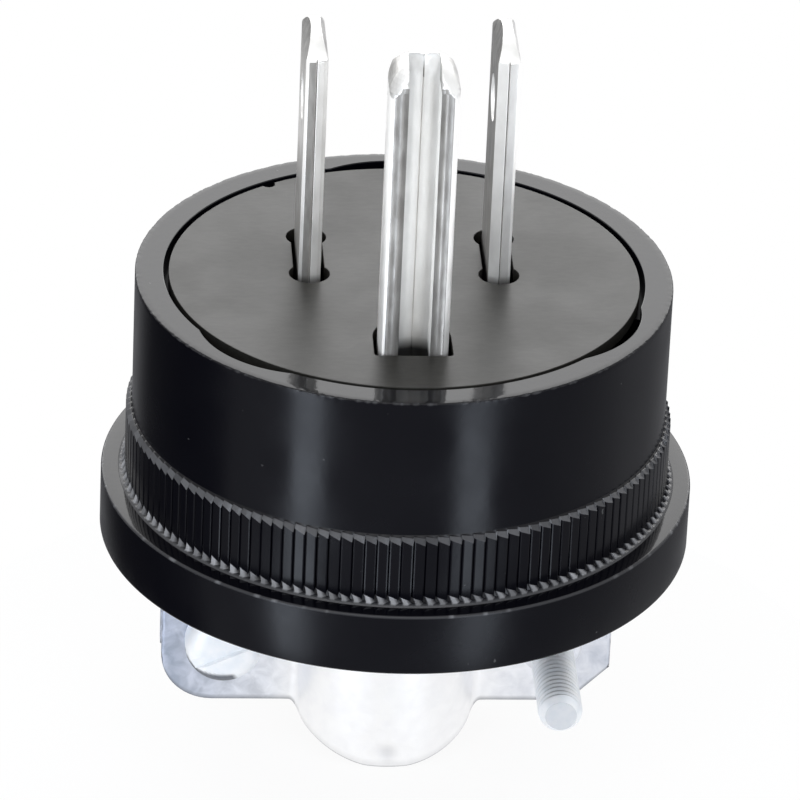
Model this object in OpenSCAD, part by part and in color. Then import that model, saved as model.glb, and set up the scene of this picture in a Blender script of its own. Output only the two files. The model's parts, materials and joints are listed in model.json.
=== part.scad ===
// A round grounded power plug that can be rewired, standing on its cord clamp with the prongs up.
// Z is the plug's axis, the ground pin is on the -Y side and Z = 0 is the foot of the cord clamp.

/* [Blades] */
// Distance between the middles of the two flat blades
blade_pitch = 12.7; // [11.8:0.1:13.6]
// Distance of the blades' middle line behind the plug's axis
blade_back = 3.15; // [2.4:0.05:4]
// Width of a blade, from front to back
blade_w = 6.35; // [5.5:0.05:7.2]
// Thickness of a blade, which is two leaves of folded sheet
blade_t = 1.5; // [1.2:0.05:1.8]
// Height of the blades above the face
blade_h = 17; // [14:0.1:19]
// Radius of the arc across a blade's tip
blade_tip_r = 4.4; // [3.8:0.1:9]
// Thickness that the bevels leave at a blade's tip
blade_tip_t = 0.65; // [0.4:0.05:1]
// Height of the bevels on a blade's tip
blade_bevel_h = 1.3; // [0.8:0.1:2.5]
// Chamfer along the long edges of a blade
blade_edge = 0.22; // [0.1:0.02:0.35]
// Width of the seam between the two leaves of a prong
seam_w = 0.1; // [0.06:0.02:0.3]
// Depth of that seam
seam_depth = 0.15; // [0.1:0.05:0.8]
// Diameter of the hole through each blade
blade_hole_d = 3.2; // [2:0.1:4]
// Height of that hole above the face
blade_hole_h = 11.7; // [9:0.1:12]

/* [Ground pin] */
// Distance from the blades' middle line to the middle of the ground pin
ground_pitch = 11.9; // [11.4:0.1:12.4]
// Width of the ground pin, across and from front to back
pin_w = 4.6; // [4.2:0.1:5.2]
// Height of the ground pin above the face
pin_h = 20.6; // [17:0.1:24]
// Width of the channel between the folded legs of the pin
channel_w = 2.1; // [1.6:0.1:2.6]
// Depth of that channel
channel_depth = 2.25; // [1.6:0.05:3]
// Rounding of the outer edges of the pin's legs
pin_edge = 0.65; // [0.2:0.05:0.7]
// Radius of the arches that form the pin's tip
pin_tip_r = 2.4; // [2.2:0.1:4]

/* [Moulded body] */
// Diameter of the plain wall between the rim and the knurled band
body_d = 36; // [35:0.5:42]
// Height of that plain wall
wall_h = 9.8; // [8:0.1:14]
// Width of the rim around the insulating disc
rim_w = 1.9; // [1.5:0.1:2.5]
// Rounding of the rim's outer edge
rim_round = 0.15; // [0.1:0.05:0.6]
// Width of the ledge that carries the disc
ledge_w = 1.3; // [0.8:0.1:1.8]
// Height of the knurled band
knurl_h = 5; // [3:0.1:7]
// How far the teeth of the band stand out from the wall
knurl_depth = 0.42; // [0.3:0.02:0.8]
// Number of teeth around the band
knurl_teeth = 144; // [60:1:180]
// Height of the slope in which the grooves run out
knurl_runout = 0.6; // [0.3:0.05:1]
// Diameter of the flange below the band
flange_d = 40; // [38.5:0.5:46]
// Height of the flange
flange_h = 4.4; // [3:0.1:6]
// Rounding of the flange's edges
flange_round = 0.2; // [0.1:0.05:0.8]
// Height of the sloping underside below the flange
neck_h = 2.6; // [1.5:0.1:4]
// Width of the flat ring around the cord hole
neck_ring = 3.2; // [2:0.1:4.5]
// Thickness of the floor around the cord hole
floor_t = 2.8; // [2:0.1:4]
// Depth from the face to the posts that carry the prongs
post_depth = 11.4; // [9.5:0.1:13]
// Angle that each notch takes out of the rim
notch_angle = 30; // [16:1:40]
// Depth of a notch into the rim
notch_in = 0.7; // [0.5:0.05:1.2]
// Depth of a notch below the face
notch_down = 4; // [2:0.1:6]

/* [Insulating disc] */
// Thickness of the disc
disc_t = 0.9; // [0.6:0.05:1.5]
// Depth of the disc's top below the rim
disc_recess = 0.05; // [0:0.05:0.6]
// Gap between the disc and the rim
disc_gap = 0.35; // [0.2:0.05:0.7]
// Gap around the prongs in the disc
slot_gap = 0.28; // [0.15:0.01:0.4]
// Diameter of the round ends of the blade slots
slot_end_d = 2.7; // [2.3:0.1:3.4]

/* [Terminals] */
// Thickness of the prongs' feet
foot_t = 0.8; // [0.6:0.05:1.2]
// Diameter of the heads of the wire screws
wire_head_d = 5; // [4.5:0.1:5.4]
// Diameter of the shanks of the wire screws
wire_screw_d = 3; // [2.5:0.1:3.2]
// Length of the shanks of the wire screws
wire_screw_l = 3.8; // [3:0.1:5]
// Diameter of the heads of the foot screws
foot_head_d = 3.4; // [3:0.1:3.8]
// Diameter of the shanks of the foot screws
foot_screw_d = 2; // [1.6:0.1:2.4]
// Length of the shanks of the foot screws
foot_screw_l = 5; // [4:0.1:6]

/* [Cord clamp] */
// Diameter of the cord passage in the clamp
cord_d = 9.9; // [8.5:0.1:10.6]
// Thickness of the clamp's steel
clamp_t = 1.2; // [0.9:0.1:1.5]
// Gap between the two halves of the clamp
clamp_gap = 1.7; // [1:0.1:2.4]
// Height of the ears
ear_h = 9.8; // [8.5:0.1:11]
// Distance from a screw to the end of its ear
ear_end = 4.2; // [3.8:0.1:5]
// Rounding of the ear that carries the screw head
ear_round = 3.5; // [2:0.1:3.8]
// Chamfer of the ear that is tapped
ear_chamfer = 2.7; // [1:0.1:3.2]
// Distance that the half-round tongue reaches below the ears
tongue_drop = 2.4; // [1.6:0.1:4]
// Width of the flat foot of a tongue
tongue_flat = 3; // [2:0.1:7]
// Rise of the tongue's curved edge from the flat foot to its sides
tongue_rise = 1.65; // [0.4:0.05:2.2]
// How far the lip of a half reaches over the floor
lip_w = 1.4; // [1:0.1:1.8]
// Angle that a lip covers
lip_angle = 100; // [60:5:110]
// How far the loose clamp sits to the left in its hole
clamp_left = 0.25; // [-0.3:0.05:0.3]
// Distance between the two clamp screws
screw_pitch = 22.4; // [21.6:0.1:25]
// Height of the clamp screws above the ears' lower edge
screw_rise = 4.9; // [4.2:0.1:5.4]
// Diameter of the clamp screws
screw_d = 3; // [2.6:0.1:3.4]
// Length of the clamp screws below the head
screw_l = 14.2; // [8:0.1:18]
// Diameter of the heads of the clamp screws
screw_head_d = 5.3; // [4.8:0.1:5.8]
// Height of the heads of the clamp screws
screw_head_h = 2.2; // [1.4:0.1:2.6]
// Height of the collar around a tapped hole
collar_h = 1; // [0.5:0.1:1.6]

/* [Hidden] */
$fn = 96;

// Clearances between pieces that fit each other
slide_fit = 0.15;
thread_fit = 0.05;
ear_clear = 0.4;
hole_clear = 0.4;
lip_clear = 0.55;
head_clear = 0.5;
wall_clear = 0.3;
// Overlap of shapes that become one solid
weld = 0.5;
// Plastic between a screw hole and the side of its post, with the hole's clearance
post_wall = 0.65;

// Radii of the moulding, from the outside in
wall_r = body_d / 2;
flange_r = flange_d / 2;
knurl_tip_r = wall_r + knurl_depth;
knurl_root_r = wall_r + 0.06;
pocket_r = wall_r - rim_w;
chamber_r = pocket_r - ledge_w;
disc_r = pocket_r - disc_gap;

// Radii of the cord clamp, and of the hole that it passes
clamp_in_r = cord_d / 2;
clamp_out_r = clamp_in_r + clamp_t;
cord_hole_r = clamp_gap / 2 + clamp_out_r + hole_clear;
neck_r = cord_hole_r + neck_ring;
lip_r = clamp_out_r + lip_w;
post_in_r = clamp_gap / 2 + lip_r + lip_clear;

// Heights, from the foot of the clamp up
ear_z = tongue_drop;
screw_z = ear_z + screw_rise;
neck_z = ear_z + ear_h + ear_clear;
floor_z = neck_z + floor_t;
flange_z = neck_z + neck_h;
knurl_z = flange_z + flange_h;
wall_z = knurl_z + knurl_h;
face_z = wall_z + wall_h;
disc_z = face_z - disc_recess - disc_t;
post_z = face_z - post_depth;
foot_z = post_z + foot_t;
blade_z = face_z + blade_h;
pin_z = face_z + pin_h;

// Places of the prongs and of their screws, seen from above
blade_x = blade_pitch / 2;
pin_y = blade_back - ground_pitch;
pin_front = pin_y - pin_w / 2;
post_x = max(blade_x + blade_t / 2 + slide_fit, cord_hole_r) + 0.5;
wire_x = max(blade_x + blade_t / 2 + head_clear + wire_head_d / 2, post_x + wire_screw_d / 2 + post_wall);
foot_screw_x = wire_x + 0.6;
foot_screw_y = blade_back - wire_head_d / 2 - head_clear - foot_head_d / 2 - 0.75;
ground_wire_x = -(pin_w / 2 + head_clear + wire_head_d / 2);
ground_wire_y = pin_y - 1;
ground_screw_x = pin_w / 2 + head_clear + foot_head_d / 2;
ground_screw_y = pin_y - 2.2;
foot_edge = 0.4;

// Angles of the three notches around the rim
notch_places = [-135, -31, 90];

// Points along an arc, from angle a0 to angle a1
function arc(x, y, r, a0, a1, steps = 6) = [
    for (i = [0 : steps])
        let (a = a0 + (a1 - a0) * i / steps)
        [x + r * cos(a), y + r * sin(a)]
];

// The gear-like outline of the knurled band: a root point and a flat tip for each tooth
function knurl_outline() = [
    for (i = [0 : knurl_teeth - 1], k = [0, 0.4, 0.6])
        let (a = (i + k) * 360 / knurl_teeth)
        let (r = k == 0 ? knurl_root_r : knurl_tip_r)
        [r * cos(a), r * sin(a)]
];

// Half section of the moulding without its knurl, hollow or posts
function body_outline() = concat(
    [[0, neck_z], [neck_r, neck_z]],
    arc(flange_r - flange_round, flange_z + flange_round, flange_round, -90, 0),
    arc(flange_r - flange_round, knurl_z - flange_round, flange_round, 0, 90),
    [[knurl_root_r - weld, knurl_z], [knurl_root_r - weld, wall_z - weld], [wall_r, wall_z - weld]],
    arc(wall_r - rim_round, face_z - rim_round, rim_round, 0, 90),
    [[0, face_z]]
);

module knurl() {
    translate([0, 0, knurl_z - weld])
        linear_extrude(knurl_h + weld)
            polygon(knurl_outline());
    translate([0, 0, knurl_z])
        cylinder(r1 = knurl_tip_r + 0.02, r2 = knurl_root_r - 0.02, h = knurl_runout);
}

// A scallop cut into the rim from inside, on a circle through its deepest point and its two ends
module notch(place) {
    reach = pocket_r + notch_in;
    mid_r = (reach * reach - pocket_r * pocket_r) / 2 / (reach - pocket_r * cos(notch_angle / 2));
    rotate([0, 0, place])
        translate([mid_r, 0, face_z - notch_down])
            cylinder(r = reach - mid_r, h = notch_down + 1);
}

// The wiring chamber, the seat of the disc, the cord hole and the notches
module hollow() {
    translate([0, 0, floor_z])
        cylinder(r = chamber_r, h = face_z);
    translate([0, 0, disc_z])
        cylinder(r = pocket_r, h = face_z);
    translate([0, 0, neck_z - 1])
        cylinder(r = cord_hole_r, h = floor_t + 2);
    for (place = notch_places)
        notch(place);
}

// Posts that rise from the floor: one at each side for a blade and one in front for the ground pin
module posts() {
    post_h = post_z - floor_z + weld;
    side_y = foot_screw_y - foot_head_d / 2 - foot_edge;
    side_w = blade_back + blade_w / 2 + foot_edge - side_y;
    front_x = ground_wire_x - wire_head_d / 2 - foot_edge;
    front_w = ground_screw_x + foot_head_d / 2 + foot_edge - front_x;
    translate([0, 0, floor_z - weld])
        intersection() {
            cylinder(r = chamber_r + weld, h = post_h);
            union() {
                for (side = [-1, 1])
                    translate([side > 0 ? post_x : -post_x - chamber_r, side_y, 0])
                        cube([chamber_r, side_w, post_h]);
                difference() {
                    translate([front_x, -chamber_r - 1, 0])
                        cube([front_w, chamber_r + 1 + pin_y + pin_w / 2, post_h]);
                    translate([0, 0, -1])
                        cylinder(r = post_in_r, h = post_h + 2);
                }
            }
        }
}

// Runs its children at the place of one of the screws on a prong's foot
module at_wire_screw(which) {
    place = which == "ground" ? [ground_wire_x, ground_wire_y] :
        [which == "line" ? wire_x : -wire_x, blade_back];
    translate([place.x, place.y, foot_z])
        children();
}

module at_foot_screw(which) {
    place = which == "ground" ? [ground_screw_x, ground_screw_y] :
        [which == "line" ? foot_screw_x : -foot_screw_x, foot_screw_y];
    translate([place.x, place.y, foot_z])
        children();
}

// Holes for the wire screws and the foot screws
module screw_holes() {
    for (which = ["line", "neutral", "ground"]) {
        at_wire_screw(which)
            translate([0, 0, -wire_screw_l - 0.4])
                cylinder(d = wire_screw_d + 2 * slide_fit, h = wire_screw_l + 1);
        at_foot_screw(which)
            translate([0, 0, -foot_screw_l - 0.4])
                cylinder(d = foot_screw_d + 2 * thread_fit, h = foot_screw_l + 1);
    }
}

module body() {
    color([0.07, 0.07, 0.08])
        difference() {
            union() {
                difference() {
                    union() {
                        rotate_extrude()
                            polygon(body_outline());
                        knurl();
                    }
                    hollow();
                }
                posts();
            }
            screw_holes();
        }
}

// A blade slot with round ends that are wider than the slot
module blade_slot(side) {
    end_y = blade_w / 2 - 0.35;
    slot_w = blade_t + 2 * slot_gap;
    slot_l = blade_w + 2 * slot_gap;
    translate([side * blade_x, blade_back, disc_z - 1]) {
        translate([-slot_w / 2, -slot_l / 2, 0])
            cube([slot_w, slot_l, disc_t + 2]);
        for (end = [-1, 1])
            translate([0, end * end_y, 0])
                cylinder(d = slot_end_d, h = disc_t + 2);
    }
}

module fibre_disc() {
    edge = 0.15;
    nick_r = 0.45;
    nick_place = 123;
    pin_slot = pin_w + 2 * slot_gap;
    color([0.2, 0.2, 0.2])
        difference() {
            translate([0, 0, disc_z])
                union() {
                    cylinder(r = disc_r, h = disc_t - edge);
                    translate([0, 0, disc_t - edge])
                        cylinder(r1 = disc_r, r2 = disc_r - edge, h = edge);
                }
            blade_slot(-1);
            blade_slot(1);
            translate([-pin_slot / 2, pin_front - slot_gap, disc_z - 1])
                cube([pin_slot, pin_slot, disc_t + 2]);
            rotate([0, 0, nick_place])
                translate([disc_r, 0, disc_z - 1])
                    cylinder(r = nick_r, h = disc_t + 2);
        }
}

// Section of a folded blade: chamfered edges, and the seam of its two leaves at the front
function blade_outline() = [
    [-blade_t / 2, blade_w / 2 - blade_edge],
    [-blade_t / 2, -blade_w / 2 + blade_edge],
    [-blade_t / 2 + blade_edge, -blade_w / 2],
    [-seam_w / 2, -blade_w / 2],
    [0, -blade_w / 2 + seam_depth],
    [seam_w / 2, -blade_w / 2],
    [blade_t / 2 - blade_edge, -blade_w / 2],
    [blade_t / 2, -blade_w / 2 + blade_edge],
    [blade_t / 2, blade_w / 2 - blade_edge],
    [blade_t / 2 - blade_edge, blade_w / 2],
    [-blade_t / 2 + blade_edge, blade_w / 2]
];

// The straight part of a blade, with the arc and the bevels of its tip
module blade_bar() {
    bar_h = blade_z - post_z;
    bevel = (blade_t - blade_tip_t) / 2 / blade_bevel_h;
    wedge = blade_tip_t / 2 + bevel * (bar_h + 1);
    difference() {
        intersection() {
            linear_extrude(bar_h)
                polygon(blade_outline());
            translate([0, blade_w, 0])
                rotate([90, 0, 0])
                    linear_extrude(2 * blade_w)
                        polygon([[-wedge, -1], [wedge, -1], [blade_tip_t / 2, bar_h], [-blade_tip_t / 2, bar_h]]);
            translate([-blade_t, 0, bar_h - blade_tip_r])
                union() {
                    rotate([0, 90, 0])
                        cylinder(r = blade_tip_r, h = 2 * blade_t);
                    translate([0, -blade_w, -bar_h])
                        cube([2 * blade_t, 2 * blade_w, bar_h]);
                }
        }
        translate([-blade_t, 0, face_z - post_z + blade_hole_h])
            rotate([0, 90, 0])
                cylinder(d = blade_hole_d, h = 2 * blade_t);
    }
}

// A foot of sheet brass, kept clear of the chamber's wall and drilled for its two screws
module foot(which, outline) {
    difference() {
        translate([0, 0, post_z])
            intersection() {
                linear_extrude(foot_t)
                    polygon(outline);
                cylinder(r = chamber_r - wall_clear, h = foot_t);
            }
        at_wire_screw(which)
            translate([0, 0, -foot_t - 1])
                cylinder(d = wire_screw_d + 2 * thread_fit, h = foot_t + 2);
        at_foot_screw(which)
            translate([0, 0, -foot_t - 1])
                cylinder(d = foot_screw_d + 2 * slide_fit, h = foot_t + 2);
    }
}

// A blade with its foot. The line side is +X and the neutral side is -X.
module blade(which) {
    side = which == "line" ? 1 : -1;
    in_x = blade_x - blade_t / 2;
    turn_x = post_x + 0.2;
    out_x = wire_x + wire_head_d / 2 + foot_edge;
    front_y = blade_back - blade_w / 2 + blade_edge;
    back_y = blade_back + blade_w / 2 - blade_edge;
    tail_y = foot_screw_y - foot_head_d / 2;
    color([0.78, 0.77, 0.74]) {
        union() {
            translate([side * blade_x, blade_back, post_z])
                blade_bar();
            foot(which, [
                [side * in_x, front_y],
                [side * turn_x, front_y],
                [side * turn_x, tail_y],
                [side * out_x, tail_y],
                [side * out_x, back_y],
                [side * in_x, back_y]
            ]);
        }
    }
}

module line_blade() {
    blade("line");
}

module neutral_blade() {
    blade("neutral");
}

// The folded bar of the ground pin: two legs with round outer edges, a half-round back and a channel
module pin_bar() {
    bar_h = pin_z - post_z;
    half = pin_w / 2;
    leg_t = (pin_w - channel_w) / 2;
    difference() {
        union() {
            cylinder(r = half, h = bar_h);
            for (side = [-1, 1])
                translate([side * half, -half, 0]) {
                    translate([side > 0 ? -leg_t : 0, pin_edge, 0])
                        cube([leg_t, half - pin_edge, bar_h]);
                    translate([side > 0 ? -leg_t : pin_edge, 0, 0])
                        cube([leg_t - pin_edge, half, bar_h]);
                    translate([-side * pin_edge, pin_edge, 0])
                        cylinder(r = pin_edge, h = bar_h);
                }
        }
        translate([-channel_w / 2, -pin_w, -1])
            cube([channel_w, pin_w - half + channel_depth, bar_h + 2]);
        translate([0, -half + channel_depth, -1])
            linear_extrude(bar_h + 2)
                polygon([[-seam_w / 2, -0.1], [seam_w / 2, -0.1], [seam_w / 2, 0], [0, seam_depth], [-seam_w / 2, 0]]);
    }
}

// The space inside the pin's domed tip, as one arch across it and one from front to back
module pin_arch(turn) {
    bar_h = pin_z - post_z;
    reach = pin_w / 2 + 0.04;
    arch_r = max(pin_tip_r, reach + 0.02);
    drop = arch_r - sqrt(arch_r * arch_r - reach * reach) + 0.05;
    rotate([0, 0, turn])
        translate([-pin_w, 0, bar_h])
            union() {
                translate([0, 0, -arch_r])
                    rotate([0, 90, 0])
                        cylinder(r = arch_r, h = 2 * pin_w);
                translate([0, -reach, -2 * bar_h - drop])
                    cube([2 * pin_w, 2 * reach, 2 * bar_h]);
            }
}

// The round that takes off the corners of the tip
module pin_round() {
    bar_h = pin_z - post_z;
    corner_r = (pin_w / 2 - pin_edge) * sqrt(2) + pin_edge;
    round_r = corner_r + 0.15;
    translate([0, 0, bar_h - round_r]) {
        sphere(r = round_r);
        translate([0, 0, -bar_h])
            cylinder(r = corner_r + 0.07, h = bar_h);
    }
}

module ground_pin() {
    left_x = ground_wire_x - wire_head_d / 2;
    right_x = ground_screw_x + foot_head_d / 2;
    near_y = pin_y + pin_w / 2 - 1;
    color([0.8, 0.79, 0.76])
        union() {
            translate([0, pin_y, post_z])
                intersection() {
                    pin_bar();
                    pin_arch(0);
                    pin_arch(90);
                    pin_round();
                }
            foot("ground", [
                [left_x, -chamber_r],
                [right_x, -chamber_r],
                [right_x, near_y],
                [left_x, near_y]
            ]);
        }
}

// A screw that points down from Z = 0, with a slotted head whose upper edge is rounded
module slotted_screw(head_d, head_h, shank_d, shank_l) {
    dome = head_h * 0.6;
    slot_w = head_d * 0.17;
    slot_depth = head_h * 0.5;
    tip = shank_d * 0.13;
    difference() {
        rotate_extrude()
            polygon(concat(
                [[0, -shank_l], [shank_d / 2 - tip, -shank_l], [shank_d / 2, -shank_l + tip]],
                [[shank_d / 2, 0], [head_d / 2, 0]],
                arc(head_d / 2 - dome, head_h - dome, dome, 0, 90),
                [[0, head_h]]
            ));
        translate([-head_d, -slot_w / 2, head_h - slot_depth])
            cube([2 * head_d, slot_w, head_h]);
    }
}

module wire_screw(which) {
    at_wire_screw(which)
        slotted_screw(wire_head_d, 1.5, wire_screw_d, wire_screw_l);
}

module line_terminal_screw() {
    color([0.72, 0.56, 0.25])
        wire_screw("line");
}

module neutral_terminal_screw() {
    color([0.75, 0.75, 0.73])
        wire_screw("neutral");
}

// The ground screw has a six-sided head so that it can't be mistaken
module ground_terminal_screw() {
    head_h = 2;
    slot_w = 0.8;
    slot_depth = 0.9;
    color([0.16, 0.42, 0.24])
        at_wire_screw("ground")
            difference() {
                union() {
                    cylinder(d = wire_head_d, h = head_h, $fn = 6);
                    translate([0, 0, -wire_screw_l])
                        cylinder(d = wire_screw_d, h = wire_screw_l + weld);
                }
                translate([-wire_head_d, -slot_w / 2, head_h - slot_depth])
                    cube([2 * wire_head_d, slot_w, head_h]);
            }
}

module foot_screw(which) {
    color([0.7, 0.68, 0.62])
        at_foot_screw(which)
            slotted_screw(foot_head_d, 1, foot_screw_d, foot_screw_l);
}

module line_foot_screw() {
    foot_screw("line");
}

module neutral_foot_screw() {
    foot_screw("neutral");
}

module ground_foot_screw() {
    foot_screw("ground");
}

// Front view of the ears: round corners at the screw head, chamfers at the tapped end
function ear_outline() =
    let (end_x = screw_pitch / 2 + ear_end)
    let (top_z = ear_z + ear_h)
    let (top_round = ear_round / 2)
    let (top_chamfer = ear_chamfer / 2)
    concat(
        [[end_x - ear_chamfer, ear_z], [end_x, ear_z + ear_chamfer]],
        [[end_x, top_z - top_chamfer], [end_x - top_chamfer, top_z]],
        arc(-end_x + top_round, top_z - top_round, top_round, 90, 180),
        arc(-end_x + ear_round, ear_z + ear_round, ear_round, 180, 270)
    );

// The half-round sleeve of one clamp half, from its foot to its lip
module clamp_sleeve() {
    top_z = floor_z + clamp_t;
    flat = tongue_flat / 2;
    edge_z = (clamp_out_r * clamp_out_r + tongue_rise * tongue_rise - flat * flat) / 2 / tongue_rise;
    edge_r = sqrt(edge_z * edge_z + flat * flat);
    translate([0, -clamp_gap / 2, 0]) {
        intersection() {
            cylinder(r = clamp_out_r, h = top_z);
            translate([0, 0, edge_z])
                union() {
                    rotate([90, 0, 0])
                        cylinder(r = edge_r, h = clamp_out_r + 1);
                    translate([-edge_r, -clamp_out_r - 1, 0])
                        cube([2 * edge_r, clamp_out_r + 1, top_z]);
                }
        }
        translate([0, 0, floor_z])
            rotate([0, 0, -90 - lip_angle / 2])
                rotate_extrude(angle = lip_angle)
                    translate([clamp_in_r + clamp_t / 2, 0])
                        square([lip_r - clamp_in_r - clamp_t / 2, clamp_t]);
    }
}

// Fills the bend between an ear and the sleeve
module bend_fill(side) {
    bend_r = 0.9;
    step = 0.03;
    corner_x = sqrt(clamp_out_r * clamp_out_r - clamp_t * clamp_t);
    corner_y = -clamp_gap / 2 - clamp_t;
    translate([side * corner_x, corner_y, ear_z])
        difference() {
            translate([side > 0 ? -weld : -bend_r, -bend_r, 0])
                cube([bend_r + weld, bend_r + weld, ear_h - ear_chamfer / 2]);
            translate([side * bend_r, -bend_r, -1])
                cylinder(r = bend_r - step, h = ear_h + 2);
        }
}

// One half of the cord clamp, on the -Y side: ears, half-round sleeve, lip, tapped collar and grip dimple
module clamp_half() {
    face_y = -clamp_gap / 2 - clamp_t;
    dimple_r = 1.2;
    dimple_depth = 0.45;
    dimple_z = 1.35;
    dimple_y = -clamp_gap / 2 - clamp_in_r - dimple_r + dimple_depth;
    union() {
        difference() {
            union() {
                translate([0, -clamp_gap / 2, 0])
                    rotate([90, 0, 0])
                        linear_extrude(clamp_t)
                            polygon(ear_outline());
                clamp_sleeve();
                bend_fill(-1);
                bend_fill(1);
                translate([screw_pitch / 2, face_y + clamp_t / 2, screw_z])
                    rotate([90, 0, 0])
                        cylinder(d = screw_d + 1.4, h = clamp_t / 2 + collar_h);
            }
            translate([0, -clamp_gap / 2, -1])
                cylinder(r = clamp_in_r, h = floor_z + 4);
            translate([0, dimple_y - clamp_t, dimple_z])
                sphere(r = dimple_r);
            translate([-screw_pitch / 2, 1, screw_z])
                rotate([90, 0, 0])
                    cylinder(d = screw_d + 2 * slide_fit, h = clamp_gap + clamp_t + 2);
            translate([screw_pitch / 2, 1, screw_z])
                rotate([90, 0, 0])
                    cylinder(d = screw_d + 2 * thread_fit, h = clamp_gap + clamp_t + collar_h + 2);
        }
        intersection() {
            translate([0, dimple_y, dimple_z])
                sphere(r = dimple_r);
            translate([0, -clamp_gap / 2, 0])
                cylinder(r = clamp_in_r + clamp_t / 3, h = floor_z);
        }
    }
}

module clamp_front() {
    color([0.76, 0.78, 0.82])
        translate([-clamp_left, 0, 0])
            clamp_half();
}

module clamp_back() {
    color([0.76, 0.78, 0.82])
        translate([-clamp_left, 0, 0])
            rotate([0, 0, 180])
                clamp_half();
}

// A clamp screw with its head on the front half and its end behind the back half
module clamp_screw() {
    color([0.82, 0.84, 0.86])
        translate([-screw_pitch / 2, -clamp_gap / 2 - clamp_t, screw_z])
            rotate([90, 0, 0])
                rotate([0, 0, 25])
                    slotted_screw(screw_head_d, screw_head_h, screw_d, screw_l);
}

module clamp_screw_left() {
    translate([-clamp_left, 0, 0])
        clamp_screw();
}

module clamp_screw_right() {
    translate([-clamp_left, 0, 0])
        rotate([0, 0, 180])
            clamp_screw();
}

body();
fibre_disc();
line_blade();
neutral_blade();
ground_pin();
line_terminal_screw();
neutral_terminal_screw();
ground_terminal_screw();
line_foot_screw();
neutral_foot_screw();
ground_foot_screw();
clamp_front();
clamp_back();
clamp_screw_left();
clamp_screw_right();
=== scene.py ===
# %% [markdown]
# # A grounded power plug
# The plug is a round black moulding with two flat blades and a longer ground pin on top, and a
# cord clamp of bent sheet steel below. The CAD model already fixes every size and place, so
# Blender has one job: to make each piece look like the thing it is. Everything is in metres, but
# a plug is small, so this lesson counts in millimetres and multiplies by MM at the last moment.

# %% Load the CAD frame
import json
import math

import bmesh
import bpy
import numpy as np
from mathutils import Matrix, Quaternion, Vector

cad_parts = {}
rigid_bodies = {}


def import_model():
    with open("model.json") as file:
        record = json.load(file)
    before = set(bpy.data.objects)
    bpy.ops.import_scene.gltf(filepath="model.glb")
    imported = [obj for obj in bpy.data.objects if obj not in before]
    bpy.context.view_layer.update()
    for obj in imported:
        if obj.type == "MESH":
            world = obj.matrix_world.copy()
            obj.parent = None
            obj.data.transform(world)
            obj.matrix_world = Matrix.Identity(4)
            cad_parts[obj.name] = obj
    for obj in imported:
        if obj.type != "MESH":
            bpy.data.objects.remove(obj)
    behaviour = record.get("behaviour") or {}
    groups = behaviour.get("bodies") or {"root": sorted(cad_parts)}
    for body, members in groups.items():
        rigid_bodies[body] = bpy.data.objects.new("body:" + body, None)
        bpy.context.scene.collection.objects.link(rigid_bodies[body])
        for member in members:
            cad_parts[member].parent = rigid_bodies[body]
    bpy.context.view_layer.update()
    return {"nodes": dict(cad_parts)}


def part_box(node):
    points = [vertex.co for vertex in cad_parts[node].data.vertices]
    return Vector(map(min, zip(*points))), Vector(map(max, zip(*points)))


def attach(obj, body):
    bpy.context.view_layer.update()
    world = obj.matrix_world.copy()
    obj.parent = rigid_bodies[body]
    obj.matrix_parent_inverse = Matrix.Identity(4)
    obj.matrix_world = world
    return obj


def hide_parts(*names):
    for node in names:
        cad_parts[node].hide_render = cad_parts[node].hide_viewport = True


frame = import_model()
MM = 0.001
scene = bpy.context.scene
scene.view_settings.view_transform = "Standard"

# %% [markdown]
# ## The camera
# The picture was taken from a little left of the front and from above, by a camera held slightly
# askew. A camera can be placed by hand, but angles are easier to correct: one for the direction
# round the plug, one for the height, one for the tilt. The long lens keeps the sides nearly
# parallel, as they are in the picture.

# %% Camera
AIM = Vector((0.08, 0.0, 24.82)) * MM
CAMERA_ROUND, CAMERA_UP, CAMERA_TILT = -4.446, 28.663, 2.562
CAMERA_AWAY = 461.8 * MM
SENSOR, LENS = 36.0, 307.9


def towards(degrees_round, degrees_up):
    """Direction from the plug: 0 degrees round is the front, positive is to the right."""
    turn, lift = math.radians(degrees_round), math.radians(degrees_up)
    return Vector((math.sin(turn) * math.cos(lift), -math.cos(turn) * math.cos(lift), math.sin(lift)))


camera = bpy.data.objects.new("camera", bpy.data.cameras.new("camera"))
scene.collection.objects.link(camera)
scene.camera = camera
camera.data.sensor_width, camera.data.lens = SENSOR, LENS
camera.data.clip_start, camera.data.clip_end = 0.01, 10.0
back = towards(CAMERA_ROUND, CAMERA_UP)
camera.location = AIM + CAMERA_AWAY * back
camera.rotation_mode = "QUATERNION"
tilt = Quaternion((0, 0, 1), math.radians(CAMERA_TILT))
camera.rotation_quaternion = (-back).to_track_quat("-Z", "Y") @ tilt
print("camera at", [round(v / MM, 1) for v in camera.location], "mm")

# %% [markdown]
# ## The studio
# Black gloss shows nothing but what stands around it, so the room is built for the reflections.
# The world is white above the horizon, for the eye and for the metal, and dim below it, because
# the upright wall of the plug mirrors what lies low around it. How dim was judged from the wall
# itself: each stretch of it mirrors one direction, so a radial gradient holds a list of greys by
# direction: grey in front, nearly black at the left. The floor is a small round white table,
# because a wide one would show in that wall as a pale veil. Its glow is mixed in for the rays that
# see a background, and the rest is paint that takes the shadow.

# %% World
HORIZON, FILL, COOL = (0.44, 0.56), 0.55, (1.0, 1.01, 1.06)
LOW_GREYS = {-90: 0.06, -84: 0.12, -80: 0.42, -54: 0.46, -18: 0.44, 0: 0.41, 36: 0.34, 75: 0.34,
             108: 0.39, 130: 0.25, 155: 0.20, 180: 0.26, 198: 0.22, 207: 0.15, 220: 0.04,
             252: 0.03, 270: 0.06}
world = bpy.data.worlds.new("white_studio")
scene.world = world
world.use_nodes = True
sky = world.node_tree
sky.nodes.clear()


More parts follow.
